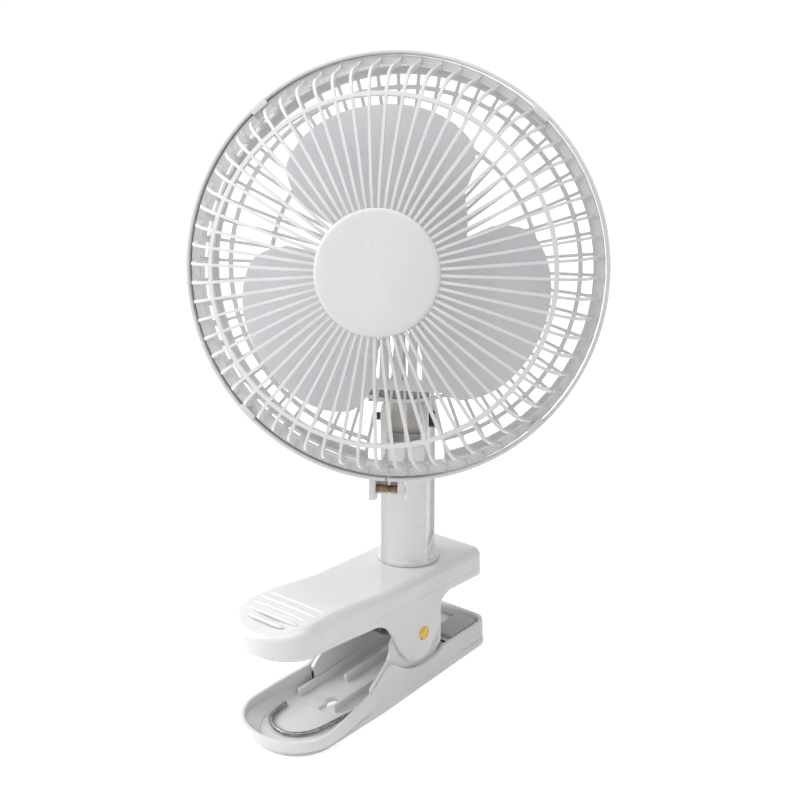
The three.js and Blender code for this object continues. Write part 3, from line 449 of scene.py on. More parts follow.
def metal(name, colour, shade, roughness):
    """Metal with tarnish in soft patches and fine marks that break up its gloss."""
    material, tree, coords = new_material(name)
    patch = span(tree, noise(tree, coords, 3, 3), 0.4, 0.65, 0, 1)
    base = mixed(tree, patch, colour, shade)
    marks = noise(tree, coords, 0.5, 4, 0.6)
    rough = span(tree, marks, 0.3, 0.7, roughness * 0.75, roughness * 1.4)
    normal = bumps(tree, marks, 0.004)
    shown(tree, principled(
        tree, {"Base Color": base, "Roughness": rough, "Metallic": 1.0, "Normal": normal}))
    return material


def moulded_rubber(name, colour, shade):
    """Moulded rubber: matt, with a fine pebble and dust in its hollows."""
    material, tree, coords = new_material(name)
    base = mixed(tree, noise(tree, coords, 5, 4), colour, shade)
    pebble = bumps(tree, noise(tree, coords, 0.7, 2), 0.05)
    shown(tree, principled(
        tree, {"Base Color": base, "Roughness": 0.75, "IOR": 1.52, "Normal": pebble}))
    return material


FINISH = {}


def make_finishes(look):
    white, shade = tuple(look.white) + (1,), tuple(look.white_shade) + (1,)
    # A glassy skin over near-white: crisp window reflections run along the handle's edge.
    FINISH["clip"] = moulded_plastic("glossy white moulded ABS", white, shade, 0.1, 0.012, 0.35)
    # The same plastic dulled by use, with rust-brown specks and dust gathered on the floor.
    FINISH["tray"] = moulded_plastic(
        "glossy white moulded ABS with specks", white, shade, 0.16, 0.008, 0.2, tray_specks)
    # An even satin that spreads the light softly, with a faint brown tide mark at the foot.
    FINISH["neck"] = moulded_plastic(
        "satin white moulded ABS", white, white, 0.3, 0.002, 0.0, foot_stain)
    # Bright and slightly shiny, so each thin bar shows one narrow highlight.
    FINISH["guard"] = moulded_plastic("bright white moulded ABS", white, shade, 0.22, 0.003)
    # Smoother than the bars, so the disc reads as one calm, almost shadowless white.
    FINISH["cap"] = moulded_plastic("soft gloss white moulded ABS", white, shade, 0.3, 0.004)
    # A warmer, flatter tone that sets the pillar's cover off from its white front.
    FINISH["beige"] = moulded_plastic(
        "beige-grey moulded ABS", linear("#d8d4cd"), linear("#ccc8c1"), 0.4)
    # Warm grey with a dull sheen: the joint reads darker than the pillar without going black.
    FINISH["arm"] = moulded_plastic(
        "grey-brown moulded ABS", linear("#cac6c1"), linear("#bdb8b2"), 0.4)
    # Dark satin that keeps a soft edge highlight on the switch.
    FINISH["black"] = moulded_plastic("black moulded ABS", linear("#26272a"), linear("#1f2022"), 0.4)
    # Cloudy and partly see-through, so the blades glow where light falls behind them.
    FINISH["blade"] = milky_blade()
    # Grey drawn wire: its broken gloss catches each turn of the coil, so the turns stand apart.
    FINISH["spring"] = metal("drawn spring steel", linear("#a2a3a5"), linear("#7d7e80"), 0.3)
    # Cool bright metal with fine marks, for screws and washers that catch small glints.
    FINISH["zinc"] = metal("zinc plated steel", linear("#b9bcc0"), linear("#a3a6ab"), 0.28)
    # Near-black metal with a broken sheen, for the knurled head of the tilt bolt.
    FINISH["dark"] = metal("blackened steel", linear("#4a4a4c"), linear("#3a3a3b"), 0.4)
    # Flat grey with fine grain, as the edges of stacked punched sheets look.
    FINISH["laminate"] = metal("punched silicon steel", linear("#8a8d92"), linear("#6d7075"), 0.4)
    # Warm yellow with tarnish patches, so the rivet's dome shades from gold to brown.
    FINISH["brass"] = metal("yellow passivated brass", linear("#cdaa5e"), linear("#a9823f"), 0.25)
    # Brownish metal with little shine, so the screw's thread shows as fine dark lines.
    FINISH["thread"] = metal("bronzed screw steel", linear("#a08a6c"), linear("#7d6a52"), 0.42)
    # Lacquered copper: an orange-brown with a soft, slightly uneven gloss.
    FINISH["copper"] = metal("enamelled copper winding", linear("#b8693c"), linear("#96502b"), 0.3)
    # Pale matt rubber whose fine pebble kills reflections between the glossy walls; its grey, darker than the
    # white plastic, is painted shade from the upper jaw over the pads.
    FINISH["pad"] = moulded_rubber("grey moulded rubber in painted shade", linear("#c9cbcc"), linear("#babcbe"))
    # Matt black with dust in its pores, for the small gland.
    FINISH["rubber"] = moulded_rubber("black moulded rubber", linear("#2a2b2c"), linear("#1f2021"))


# ---- the clip ------------
# How many points a half outline has on its flat end, its corner, its side before the ear, its tail.
END_POINTS, CORNER_POINTS, SIDE_POINTS, TAIL_POINTS = 6, 10, 6, 19
BEFORE_EAR = END_POINTS + CORNER_POINTS + SIDE_POINTS
DRAWN_FROM_Y, DRAWN_OVER = -56, 34


def clip_half(stations, side_y, jaw, corner, tail, inset, drawn=0.0):
    """Half an outline from the middle of the jaw to the tip of the tail, moved in by inset.

    It has a straight end, a quarter circle, a side read off the width stations, and a quarter
    ellipse (middle y, half width, reach). Towards the tail it is drawn in further, by a share of
    drawn that grows evenly. The same count of points comes back for every inset.
    """
    widths = smooth(stations, 8)
    side_x = np.interp(-side_y, -widths[:, 1], widths[:, 0]) - inset
    side_x = side_x - drawn * np.clip((DRAWN_FROM_Y - side_y) / DRAWN_OVER, 0, 1)
    c = max(corner - inset, 0.4)
    along = np.linspace(0, 1, END_POINTS, endpoint=False)[:, None]
    flat = along * [side_x[0] - c, 0] + [0, jaw - inset]
    t = np.linspace(np.pi / 2, 0, CORNER_POINTS)[:, None]
    bend = np.hstack([side_x[0] - c + c * np.cos(t), jaw - inset - c + c * np.sin(t)])
    middle, half, reach = tail
    t = np.linspace(0, np.pi / 2, TAIL_POINTS + 1)[1:, None]
    less = inset + drawn
    round_end = np.hstack([(half - less) * np.cos(t), middle - (reach - less) * np.sin(t)])
    return np.vstack([flat, bend, np.stack([side_x, side_y], 1), round_end])


def both_sides(half):
    """A half outline and its mirror image as one loop, without the shared ends twice."""
    return np.vstack([half, (half * [-1, 1])[-2:0:-1]])


def same_both_sides(values):
    return np.concatenate([values, values[-2:0:-1]])


def spine(loop, low, high):
    """The nearest points on the middle line, between two ends."""
    return np.stack([np.zeros(len(loop)), np.clip(loop[:, 1], low, high)], 1)


# Width stations are (half width, y); an ear's line is (y, height of the lower edge).
TOP_TAIL = (-96.3, 25.4, 19.4)
TOP_STATIONS = [
    (24, 36), (24, 10), (24, -20), (24, -40), (24.4, -58), (25, -78), (25.4, -92), (25.4, TOP_TAIL[0])]
TOP_EAR = smooth([
    (7, 44.4), (5.3, 44.2), (2.6, 43.2), (0.2, 42), (-1.2, 40.6), (-1.8, 38.5), (-1.9, 34), (-1.9, 24),
    (-1.95, 19.6), (-2.6, 17.6), (-4.6, 16.1), (-9.1, 14.4), (-14.7, 13.7), (-20.4, 13.9), (-25.2, 15.5),
    (-29.1, 18.2), (-33.8, 23.9), (-36.9, 30.1), (-40, 35.2), (-43.8, 39.9), (-49.8, 43.4), (-55, 44.3),
], 5)
TOP_SIDE_Y = np.concatenate(
    [np.linspace(29, 9, SIDE_POINTS), TOP_EAR[:, 0], np.linspace(-58, TOP_TAIL[0], 14)])
SKIRT_Z = 44.3
TOP_EDGE = np.concatenate(
    [np.full(BEFORE_EAR, SKIRT_Z), TOP_EAR[:, 1], np.full(14 + TAIL_POINTS, SKIRT_Z)])
TOP_LIP = 3.0
WALL = 2.4
BACK_Z, SWELL, ROLL_DOWN = 59, 2.9, 4.6
ROOF_Z = 56.2
EDGE_ROLL_Z, EDGE_ROLL = 54.5, 4.8
SPINE_Y = (-92, 20)


def top_height(y):
    """The upper handle's back: level by the pillar, then a slow swell and a roll down to its tip."""
    swell = np.clip((-44 - y) / 38, 0, 1)
    roll = np.clip((-88 - y) / 30, 0, 1)
    return BACK_Z + SWELL * swell**2 * (3 - 2 * swell) - ROLL_DOWN * roll**2


def cover_shell():
    """The upper jaw: its outline carried from the inner roof, round the skirt, over the edge."""
    rows = []

    def row(inset, z, drawn=0.0):
        half = clip_half(TOP_STATIONS, TOP_SIDE_Y, 36, 7, TOP_TAIL, inset, drawn)
        rows.append(np.column_stack([both_sides(half), same_both_sides(z)]))

    edge = TOP_EDGE
    base = clip_half(TOP_STATIONS, TOP_SIDE_Y, 36, 7, TOP_TAIL, 0)
    top = top_height(base[:, 1])
    row(WALL, np.full(len(edge), ROOF_Z))
    row(WALL, edge + 0.5, TOP_LIP)
    row(WALL - 0.3, edge + 0.1, TOP_LIP)
    row(WALL - 0.6, edge, TOP_LIP)
    row(0.6, edge, TOP_LIP)
    row(0.3, edge + 0.1, TOP_LIP)
    row(0.1, edge + 0.3, TOP_LIP * 0.94)
    row(0.1, np.maximum(edge + 0.4, 46.8), 0.2)
    row(0.1, np.maximum(edge + 0.5, 48.2))
    row(0.35, np.maximum(edge + 0.6, 48.6))
    row(0.35, np.maximum(edge + 0.7, 49.2))
    for t in np.radians(np.linspace(0, 84, 11)):
        row(0.35 + EDGE_ROLL * (1 - np.cos(t)), EDGE_ROLL_Z + (top - EDGE_ROLL_Z) * np.sin(t))
    outer = rows[-1]
    middle = spine(outer, *SPINE_Y)
    for s in (0.15, 0.35, 0.6, 0.85, 1.0):
        flat = outer[:, :2] * (1 - s) + middle * s
        z = outer[:, 2] * (1 - s) + (top_height(flat[:, 1]) + 0.05) * s
        rows.append(np.column_stack([flat, z]))
    inner = rows[0]
    roof = np.column_stack([spine(inner, *SPINE_Y), inner[:, 2]])
    return grid(np.array([roof] + rows), wrap_v=True)


def grip_ribs():
    """Five low bars across the handle, each a half ellipse in section with ends that sink away."""
    shapes = []
    for y, half in zip((-83.2, -88.9, -94.6, -100.2, -105.2), (20.5, 20.5, 19.5, 17, 12)):
        u = np.linspace(-1, 1, 33)[:, None]
        t = np.linspace(0, TAU, 16, endpoint=False)[None, :]
        swell = np.sqrt(np.clip(1 - np.abs(u) ** 6, 0.0004, 1))
        x = half * u * np.ones_like(t)
        yy = y + 1.15 * swell * np.cos(t)
        z = top_height(np.full_like(x, y)) - 0.15 + 1.0 * swell * np.sin(t) - 0.06 * (x / 10) ** 2
        shapes.append(grid(np.stack([x, yy, z], -1), wrap_v=True, ends=True))
    return shapes


def stop_blocks():
    block = [(-8, 38.6), (-3.6, 38.6), (-3.6, 56), (-8, 56)]
    return [across_x(plate(block, low, high, 0.4)) for low, high in ((19, 22), (-22, -19))]


def upper_clip_piece():
    new_piece(
        "upper_clip", [cover_shell(), *grip_ribs(), *stop_blocks()], ON_JAW, "jaw", ["clip_upper"],
        FINISH["clip"], sharp=50)


# The tray has two outlines: the foot's and, above it, the rim's, which flares towards the tail.
TRAY_TAIL = (-85, 22, 20)
TRAY_STATIONS = [
    (24, 38), (24, 10), (24, -20), (24, -48), (23.4, -60), (22.6, -73), (22.2, -82), (22, TRAY_TAIL[0])]
TRAY_RISE = smooth([
    (6, 14), (2.5, 14), (0.8, 13), (-1.5, 11.9), (-6, 11.2), (-13, 11.1), (-20, 12), (-26, 14.2), (-31, 17.4),
    (-35, 20.8), (-38.2, 22.8), (-40.8, 21.4), (-45.4, 18.1), (-49.5, 15.4), (-52.5, 14.1), (-55, 14),
], 5)
TRAY_SIDE_Y = np.concatenate(
    [np.linspace(31, 8, SIDE_POINTS), TRAY_RISE[:, 0], np.linspace(-57, TRAY_TAIL[0], 12)])
RIM_Z = 14.0
RIM_TAIL = (-88.3, 28.2, 22.3)
RIM_STATIONS = [
    (25.2, 39.2), (25.2, 31), (24.4, 10), (24, -4), (24, -50), (25.3, -62), (26.8, -73), (28.1, -86),
    (28.2, RIM_TAIL[0])]
RIM_SIDE_Y = np.concatenate(
    [np.linspace(30.5, 8, SIDE_POINTS), TRAY_RISE[:, 0], np.linspace(-57, RIM_TAIL[0], 12)])
RIM_END_Y = RIM_TAIL[0] - RIM_TAIL[2] * np.sin(np.linspace(0, np.pi / 2, TAIL_POINTS + 1)[1:])
RIM_FALL = np.interp(np.concatenate([RIM_SIDE_Y[-12:], RIM_END_Y]), [-98, -56], [11.4, RIM_Z])
TRAY_EDGE = np.concatenate([np.full(BEFORE_EAR, RIM_Z), TRAY_RISE[:, 1], RIM_FALL])
TRAY_FLOOR = 3.0
RIB_TOP = 7.2
JAW_TOP = 11
PIVOT = (-13, 29)


def tray_loop(inset, flare=0.0):
    """The tray's outline, between its foot's (flare 0) and its wider rim's (flare 1)."""
    foot = clip_half(TRAY_STATIONS, TRAY_SIDE_Y, 38, 7, TRAY_TAIL, inset)
    rim = clip_half(RIM_STATIONS, RIM_SIDE_Y, 39.2, 8.4, RIM_TAIL, inset)
    return both_sides(foot * (1 - flare) + rim * flare)


def tray_wall():
    """The tray's rim and foot flange: its outline carried once round the wall's section."""
    edge = same_both_sides(TRAY_EDGE)
    level = lambda z: np.full(len(edge), float(z))
    section = [
        (WALL, level(0.05), 0), (WALL, level(3.4), 0), (WALL, level(5.4), 0.6), (WALL, level(7), 1),
        (WALL, edge - 0.5, 1), (WALL - 0.3, edge - 0.12, 1), (WALL - 0.6, edge, 1), (0.6, edge, 1),
        (0.3, edge - 0.12, 1), (0.1, edge - 0.5, 1), (0.1, level(6.4), 1), (0.1, level(5.7), 0.93),
        (0.1, level(4.4), 0.48), (0.1, level(3.5), 0.14), (-0.05, level(3.2), 0.02), (-0.7, level(3), 0),
        (-0.95, level(2.7), 0), (-1, level(2.2), 0), (-1, level(0.5), 0), (-0.7, level(0.1), 0),
        (-0.4, level(0), 0), (1, level(0), 0),
    ]
    rows = [np.column_stack([tray_loop(inset, flare), z]) for inset, z, flare in section]
    return grid(np.array(rows), wrap_u=True, wrap_v=True)


def keyhole():
    """A round hole with a narrower slot towards the tail, as one outline."""
    half, r, x, y = 1.75, 3.8, -1.0, -57.5
    low = np.arcsin(half / r)
    t = np.linspace(-np.pi / 2 + low, 1.5 * np.pi - low, 40)
    hole = np.stack([x + r * np.cos(t), y + r * np.sin(t)], 1)
    t = np.linspace(np.pi, TAU, 12)
    end = np.stack([x + half * np.cos(t), y - 8.6 + half * np.sin(t)], 1)
    return np.vstack([hole, end])


TRAY_EAR = np.vstack([
    [(-52, 2), (-52, 13.2)],
    smooth([(-49.5, 15.4), (-45.4, 18.1), (-40.5, 21.5), (-37.1, 24.4), (-35.4, 28.1), (-34.7, 31.5),
            (-32.2, 35.2), (-27, 37.5), (-20, 38.3)], 4),
    [(-3, 38.3), (-1, 36.5), (-0.6, 20), (-0.6, 2)],
])


def tray_inside():
    """Ears, floor with its keyhole, long ribs, a riser and the jaw's raised platform."""
    ears = []
    for low, high in ((18.8, 21.2), (-21.2, -18.8)):
        ears.append(across_x(plate(TRAY_EAR, low, high, 0.35, [circle(*PIVOT, 2.7, 24)])))
    for low, high in ((18.9, 22), (-22, -18.9)):
        ears.append(across_x(plate([(-52, 2), (-52, 11), (-1, 11), (-1, 2)], low, high, 0.4)))
    floor = plate(tray_loop(WALL - 0.3), 0.04, TRAY_FLOOR, 0.02, [keyhole()])
    lanes = ((-19.1, -17, -65, 9), (-8.6, -6.5, -41, 9), (5.8, 7.6, -65.6, 9))
    ribs = [plate(rectangle(*lane), 1, RIB_TOP, 0.3) for lane in lanes]
    riser = plate(rectangle(-21.8, 21.8, 8, 10.4, 0.2), 1, JAW_TOP, 0.3)
    loop = tray_loop(WALL - 0.2)
    platform = plate(loop * [1, 0] + np.maximum(loop * [0, 1], [0, 8.2]), 8.6, JAW_TOP, 0.3)
    return [*ears, floor, *ribs, riser, platform]


def tray_piece():
    new_piece(
        "clip_tray", [tray_wall(), *tray_inside()], ON_TRAY, "tray", ["clip_lower"], FINISH["tray"],
        sharp=40)
    pad_loop = tray_loop(WALL + 1)
    outline = pad_loop[pad_loop[:, 1] > 11.5]
    outline = outline[np.argsort(np.arctan2(outline[:, 1] - 20, outline[:, 0]))]
    pad = plate(outline, 11.3, 13.2, 0.4, [rectangle(-7, 7, 19, 32)])
    # The pad finish's grey is painted shade from the upper jaw, on both jaw pads.
    new_piece("tray_jaw_pad", [pad], ON_TRAY, "tray", ["lower_jaw_pad"], FINISH["pad"])
    rounded_solid("upper_jaw_pad", "jaw", FINISH["pad"], 0.3)


def rivet_head(sign):
    """A domed head with a rolled rim and a small dimple, turned about the pivot."""
    profile = [
        (0, 1.75), (0.8, 1.8), (1.0, 2.0), (1.7, 1.95), (2.8, 1.5), (3.6, 0.8), (3.95, 0.2), (3.7, 0), (0, 0)]
    points, faces = spun(smooth(profile, 4), 40)
    return points[:, [2, 0, 1]] * [sign, 1, 1] + [sign * 23.3, *PIVOT], faces


def pivot_piece():
    shank = across_x(plate(circle(*PIVOT, 2.3), -23.4, 23.4, 0.1))
    new_piece(
        "pivot_rivet", [shank, rivet_head(1), rivet_head(-1)], ON_TRAY, "tray", ["pivot_pin"],
        FINISH["brass"])
    rounded_solid("spring_sleeve", "tray", FINISH["beige"], 0.3)


def spring_piece(wire):
    """The torsion spring: a leg round the tray's floor, a helix about the pivot, a leg to the handle.

    On the helix y = R cos t and z = R sin t about the pivot while x falls by one pitch a turn.
    """
    coil_r, pitch, x0, turns, leg_z = 7.3, 2.92, 2.0, 6, 4.6
    t = np.radians(np.linspace(-70.4, 58 + turns * 360, 200))[:, None]
    coil = np.hstack([
        x0 - pitch * (t - t[0]) / TAU, PIVOT[0] + coil_r * np.cos(t), PIVOT[1] + coil_r * np.sin(t)])
    round_floor = [
        (-17.5, -75.2), (-17.3, -80), (-16.2, -85.6), (-13.2, -90.4), (-7.4, -93.6), (0.3, -94.5),
        (7.2, -91.2), (11.6, -85), (13.6, -77.5), (14.9, -69)]
    rising = [(16.5, -61, 4.7), (17.1, -47, 5.6), (15.4, -33.5, 11.4), (9.6, -21.5, 17.6)]
    floor_leg = smooth([(x, y, leg_z) for x, y in round_floor] + rising, 8)
    last, away = coil[-1], coil[-1] - coil[-2]
    away /= np.linalg.norm(away)
    handle_leg = last + away * np.linspace(1, 31, 12)[:, None]
    lead_in = smooth([floor_leg[-1], coil[0] + (coil[0] - coil[1]) * 2], 4)
    path = np.vstack([floor_leg[:-1], lead_in, coil, handle_leg])
    spring = new_piece(
        "clip_spring", [tube(path, wire / 2)], ON_TRAY, None, ["torsion_spring"], FINISH["spring"],
        sharp=60)
    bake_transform(spring)


# ---- the neck ------------
def neck_pieces():
    rounded_solid("neck_column", "neck", FINISH["neck"], 0.7)
    rounded_solid("neck_rear_cover", "neck", FINISH["beige"], 0.4)
    rounded_solid("tilt_arm", "head", FINISH["arm"], 0.6)
    rounded_solid("tilt_bolt", "neck", FINISH["dark"], 0.25)
    for node in ("tilt_nut", "tilt_washer_left", "tilt_washer_right", "swivel_washer", "swivel_screw",
                 "neck_screw_lower", "neck_screw_upper"):
        rounded_solid(node, "neck", FINISH["zinc"], 0.15)


# ---- the guards ------------
SPOKES = 64
BACK_RIBS = 58
SEAT_BAND, MIDDLE_BAND = (0, 1, 2), (15, 16, 17)  # steps of the bars' path that are solid all round


def front_guard_piece(look):
    path = smooth([(22, 43.4), (28.2, 43.6), (36, 43.8), (45, 42.2), (60, 38.9), (77.6, 35), (79.4, 34.6),
                   (83.2, 33.2), (86.4, 31), (89, 27), (91, 21.5), (92.4, 15), (95.2, 3.2)], 3)
    wide = look.spoke_wide / MM
    rows = even_rows(path, look.spoke_deep / MM, wide, SEAT_BAND + MIDDLE_BAND)
    rows += [(wide, (94.1, 1.8), (98.0, 2.1), True, ()), (wide, (94.0, -3.7), (98.05, -3.7), False, ())]
    new_piece(
        "front_guard_bars", [cage(rows, SPOKES)], ON_FAN, "head", ["front_guard"], FINISH["guard"],
        bevel=0.55)


def rear_guard_piece():
    deep, at = 2.2, -20.5
    flat = lambda r, band, gaps=(): (1.5, (r, at - deep), (r, at), band, gaps)
    wall = lambda a, outer, band, wide=3.2: (wide, (outer, a), (94.6, a), band, ())
    bottom = (42, 43, 44, 45)
    rows = [
        flat(27, False), flat(64, True), flat(66, False), flat(84.4, True, bottom), flat(86.5, False),
        flat(91.5, True, bottom), (3.2, (95.7, at - deep), (94.6, at), True, ()), wall(-17, 96.4, False),
        wall(-9, 96.4, True), wall(-5.8, 97.9, True), wall(-4.2, 97.9, False),
    ]
    slots = [rectangle(c - 1.35, c + 1.35, -54.2, -30, 1.2) for x in (3.5, 10.4, 17.3) for c in (x, -x)]
    outline = softened(
        [(31, -59.5), (31, 26), (28, 42), (20, 48), (-20, 48), (-28, 42), (-31, 26), (-31, -59.5)], 4)
    centre = across_y(plate(outline, at - deep - 0.02, -17.6, 0.5, slots))
    new_piece(
        "rear_guard_ribs", [cage(rows, BACK_RIBS)], ON_FAN, "head", ["rear_guard"], FINISH["guard"],
        bevel=0.4)
    new_piece(
        "motor_plate", [centre], ON_FAN, "head", ["rear_guard"], FINISH["guard"])


def front_cap_piece():
    face = smooth(
        [(0, 46.9), (10, 46.8), (20, 46.3), (26, 45.8), (27.6, 45.5), (28.4, 45.1), (28.5, 44.95)], 4)
    profile = np.vstack([face, [(28.3, 44.9), (0, 44.9)]])
    new_piece(
        "front_cap_disc", [turned(profile, 128, shut=False)], ON_FAN, "head", ["front_cap"],
        FINISH["cap"])


CLAMP_HOLE = (0.5, -104.5)


def hoop_pieces():
    section = softened([(100.4, -6.1), (100.4, 4.3), (98.7, 4.3), (98.7, -6.1)], 0.7)
    gap = 0.5 / 99.5
    ring = turned(section, 240, sweep=(-np.pi / 2 + gap, 1.5 * np.pi - gap))
    tab = across_y(plate(rectangle(96.9, 100.1, -4.5, 4.5, 1.0), 3.9, 5.2, 0.3))
    tabs = [turned_by(tab, angle) for angle in (48, 132, 226, 315)]
    lug = softened([(-5, -99), (3, -99), (3, -107), (1.5, -110.4), (-3.5, -110.4), (-5, -107)], 1.0)
    web = lambda x0, x1: across_y(plate(rectangle(x0, x1, -108, -99, 0.8), -5.6, -4, 0.3))
    shapes = [ring, *tabs, web(0.5, 6.3), web(-6.3, -0.5)]
    hole = circle(*CLAMP_HOLE, 2.15, 24)
    for low, high in ((5.3, 8.7), (-8.7, -5.3)):
        shapes.append(across_x(plate(lug * [-1, 1], low, high, 0.5, [hole])))
    new_piece("clamp_hoop_ring", shapes, ON_FAN, "head", ["clamp_hoop"], FINISH["guard"])
    screw_x = np.linspace(-8.3, 8.3, 200)
    thread = 1.72 + 0.13 * np.sin(TAU * screw_x / 0.7)
    shank = np.vstack([(0, -8.4), np.column_stack([thread, screw_x]), (0, 8.4)])
    head = [(0, 8.5), (2.4, 8.5), (2.5, 8.3), (2.5, 6.4), (0, 6.4)]
    shapes = []
    for profile in (shank, head):
        points, faces = spun(profile, 32)
        shapes.append((points[:, [2, 0, 1]] + [0, *CLAMP_HOLE], faces))
    new_piece("clamp_screw_thread", shapes, ON_FAN, "head", ["clamp_screw"], FINISH["thread"])
    nut = across_x(plate(circle(*CLAMP_HOLE, 2.7, 6), -8.4, -6.2, 0.15))
    new_piece("clamp_nut_sunk", [nut], ON_FAN, "head", ["clamp_nut"], FINISH["thread"])


# ---- motor, switch and rotor ------------
def motor_pieces():
    rounded_solid("motor_housing", "head", FINISH["guard"], 0.6)
    for node in ("arm_screw_left", "arm_screw_right", "housing_screw_left", "housing_screw_right",
                 "motor_bracket_front", "motor_bracket_rear", "motor_screw_left", "motor_screw_right"):
        rounded_solid(node, "head", FINISH["zinc"], 0.15)
    rounded_solid("motor_stator", "head", FINISH["laminate"], 0.2)
    rounded_solid("motor_coil", "head", FINISH["copper"], 0.6)
    for node in ("bearing_front", "bearing_rear"):
        rounded_solid(node, "head", FINISH["brass"], 0.15)
    rounded_solid("cable_gland", "head", FINISH["rubber"], 0.3)
    rounded_solid("switch_body", "head", FINISH["black"], 0.3)
    rounded_solid("switch_button", "button", FINISH["black"], 0.5)


HUB_R, TIP_R = 11, 75.6
BLADES_AT = (97.5, -22.5, -142.5)


def blade(middle):
    """One blade: a skewed sheet over u (across) and v (root to tip), thinned towards its rim.

    Its reach is the tip radius less 9.5 |u / 0.89|^3 and, past |u| = 0.8, less 250 times the
    square of what |u| has over 0.8, which rounds the corners. Its half angle grows from root to
    tip, and it stands forward by 7.4 u, so it meets the air at a slant that flattens outwards.
    """
    u = np.linspace(-1, 1, 49)[:, None]
    v = np.linspace(0, 1, 33)[None, :]
    u = np.sign(u) * (1 - (1 - np.abs(u)) ** 1.35)
    reach = TIP_R - 9.5 * np.abs(u / 0.89) ** 3 - 250 * np.clip(np.abs(u) - 0.8, 0, 1) ** 2
    r = HUB_R + (reach - HUB_R) * v
    t = np.radians(middle + u * (28 + 19.4 * np.sin(np.pi / 2 * np.minimum(1, 1.4 * v))))
    a = 9 + u * 7.4 * np.ones_like(v)
    thin = 0.25 + 0.43 * (1 - np.abs(u) ** 10) * (1 - v**14)
    skins = [np.stack([r * np.cos(t), -(a + side * thin), r * np.sin(t)], -1) for side in (1, -1)]
    loop = np.concatenate([skins[0], skins[1][:, ::-1]], axis=1)
    points, faces = grid(loop, wrap_v=True)
    nu, nv = loop.shape[:2]
    for row in (0, nu - 1):
        ring = [row * nv + k for k in range(nv)]
        half = nv // 2
        faces += [[ring[k], ring[k + 1], ring[nv - 2 - k], ring[nv - 1 - k]] for k in range(half - 1)]
    return points, faces


def rotor_pieces():
    hub = turned([(1.8, 0.2), (13.4, 0.2), (14, 0.8), (14, 16), (13.4, 18), (11.5, 18.9), (1.8, 18.9)], 64)
    new_piece(
        "blades_moulded", [hub, *[blade(middle) for middle in BLADES_AT]], ON_FAN, "rotor",
        ["fan_blades"], FINISH["blade"], sharp=50)
    rounded_solid("motor_shaft", "rotor", FINISH["zinc"], 0.15)
    rounded_solid("blade_nut", "rotor", FINISH["zinc"], 0.2)
    rounded_solid("rotor_core", "rotor", FINISH["laminate"], 0.2)


# ---- stage ------------
FAN_MIDDLE = (0, 0, 0.16)
FLOOR_REACH = 4.0
FLOOR_Z = -0.0002  # just under the tray's foot, so that the two never share a plane
# The viewpoint, worked out by matching the ring, the clip and the pillar: where it stands, the way
# back from what it sees, both in the jaw's frame, its turn about the vertical, and its lens.
VIEW_FROM = (487.606, -576.721, 389.572)
VIEW_AWAY = (0.61815, -0.72284, 0.30884)
VIEW_AZIMUTH = np.radians(40.54)
VIEW_LENS, VIEW_SENSOR = 70.54, 36.0


def seen_rays(tree):
    """1 for a ray to the eye, straight or by way of gloss or glass, and 0 for light on the fan."""
    path = add_node(tree, "ShaderNodeLightPath").outputs
    seen = path["Is Camera Ray"]
    for other in ("Is Glossy Ray", "Is Transmission Ray"):
        seen = maths(tree, "MAXIMUM", seen, path[other])
    return seen


def stage_material(name, base, glow):
    """A pale matt surface; to the eye, and in gloss and glass, it also glows so that it reads white."""
    material, tree, _ = new_material(name)
    matt = add_node(tree, "ShaderNodeBsdfDiffuse", {"Color": base}).outputs[0]
    light = add_node(tree, "ShaderNodeEmission", {"Color": base, "Strength": glow}).outputs[0]
    both = add_node(tree, "ShaderNodeAddShader", {0: matt, 1: light}).outputs[0]
    seen = seen_rays(tree)
    shown(tree, add_node(tree, "ShaderNodeMixShader", {0: seen, 1: matt, 2: both}).outputs[0])
    return material


def area_lamp(name, toward, distance, size, power):
    """A square soft lamp at a distance from the fan's middle, facing it."""
    lamp = bpy.data.lights.new(name, "AREA")
    lamp.size, lamp.energy = size, power
    holder = new_object(name, lamp)
    away = Vector(toward).normalized()
    holder.location = Vector(FAN_MIDDLE) + away * distance
    holder.rotation_euler = away.to_track_quat("Z", "Y").to_euler()


def camera():
    """The photograph's viewpoint, laid out in the jaw's frame."""
    away = np.array(VIEW_AWAY)
    away /= np.linalg.norm(away)
    right = np.array([np.cos(VIEW_AZIMUTH), np.sin(VIEW_AZIMUTH), 0])
    up = np.cross(away, right)
    turn = np.array([right, up, away]) @ np.array([SIDE, np.cross(SWIVEL, SIDE), SWIVEL])
    data = bpy.data.cameras.new("photograph_view")
    data.lens, data.sensor_width, data.sensor_height = VIEW_LENS, VIEW_SENSOR, VIEW_SENSOR
    data.sensor_fit = "HORIZONTAL"
    holder = new_object("photograph_view", data)
    matrix = np.eye(4)
    matrix[:3, :3], matrix[:3, 3] = turn.T, ON_JAW(VIEW_FROM)
    holder.matrix_world = Matrix(matrix.tolist())
    bpy.context.scene.camera = holder


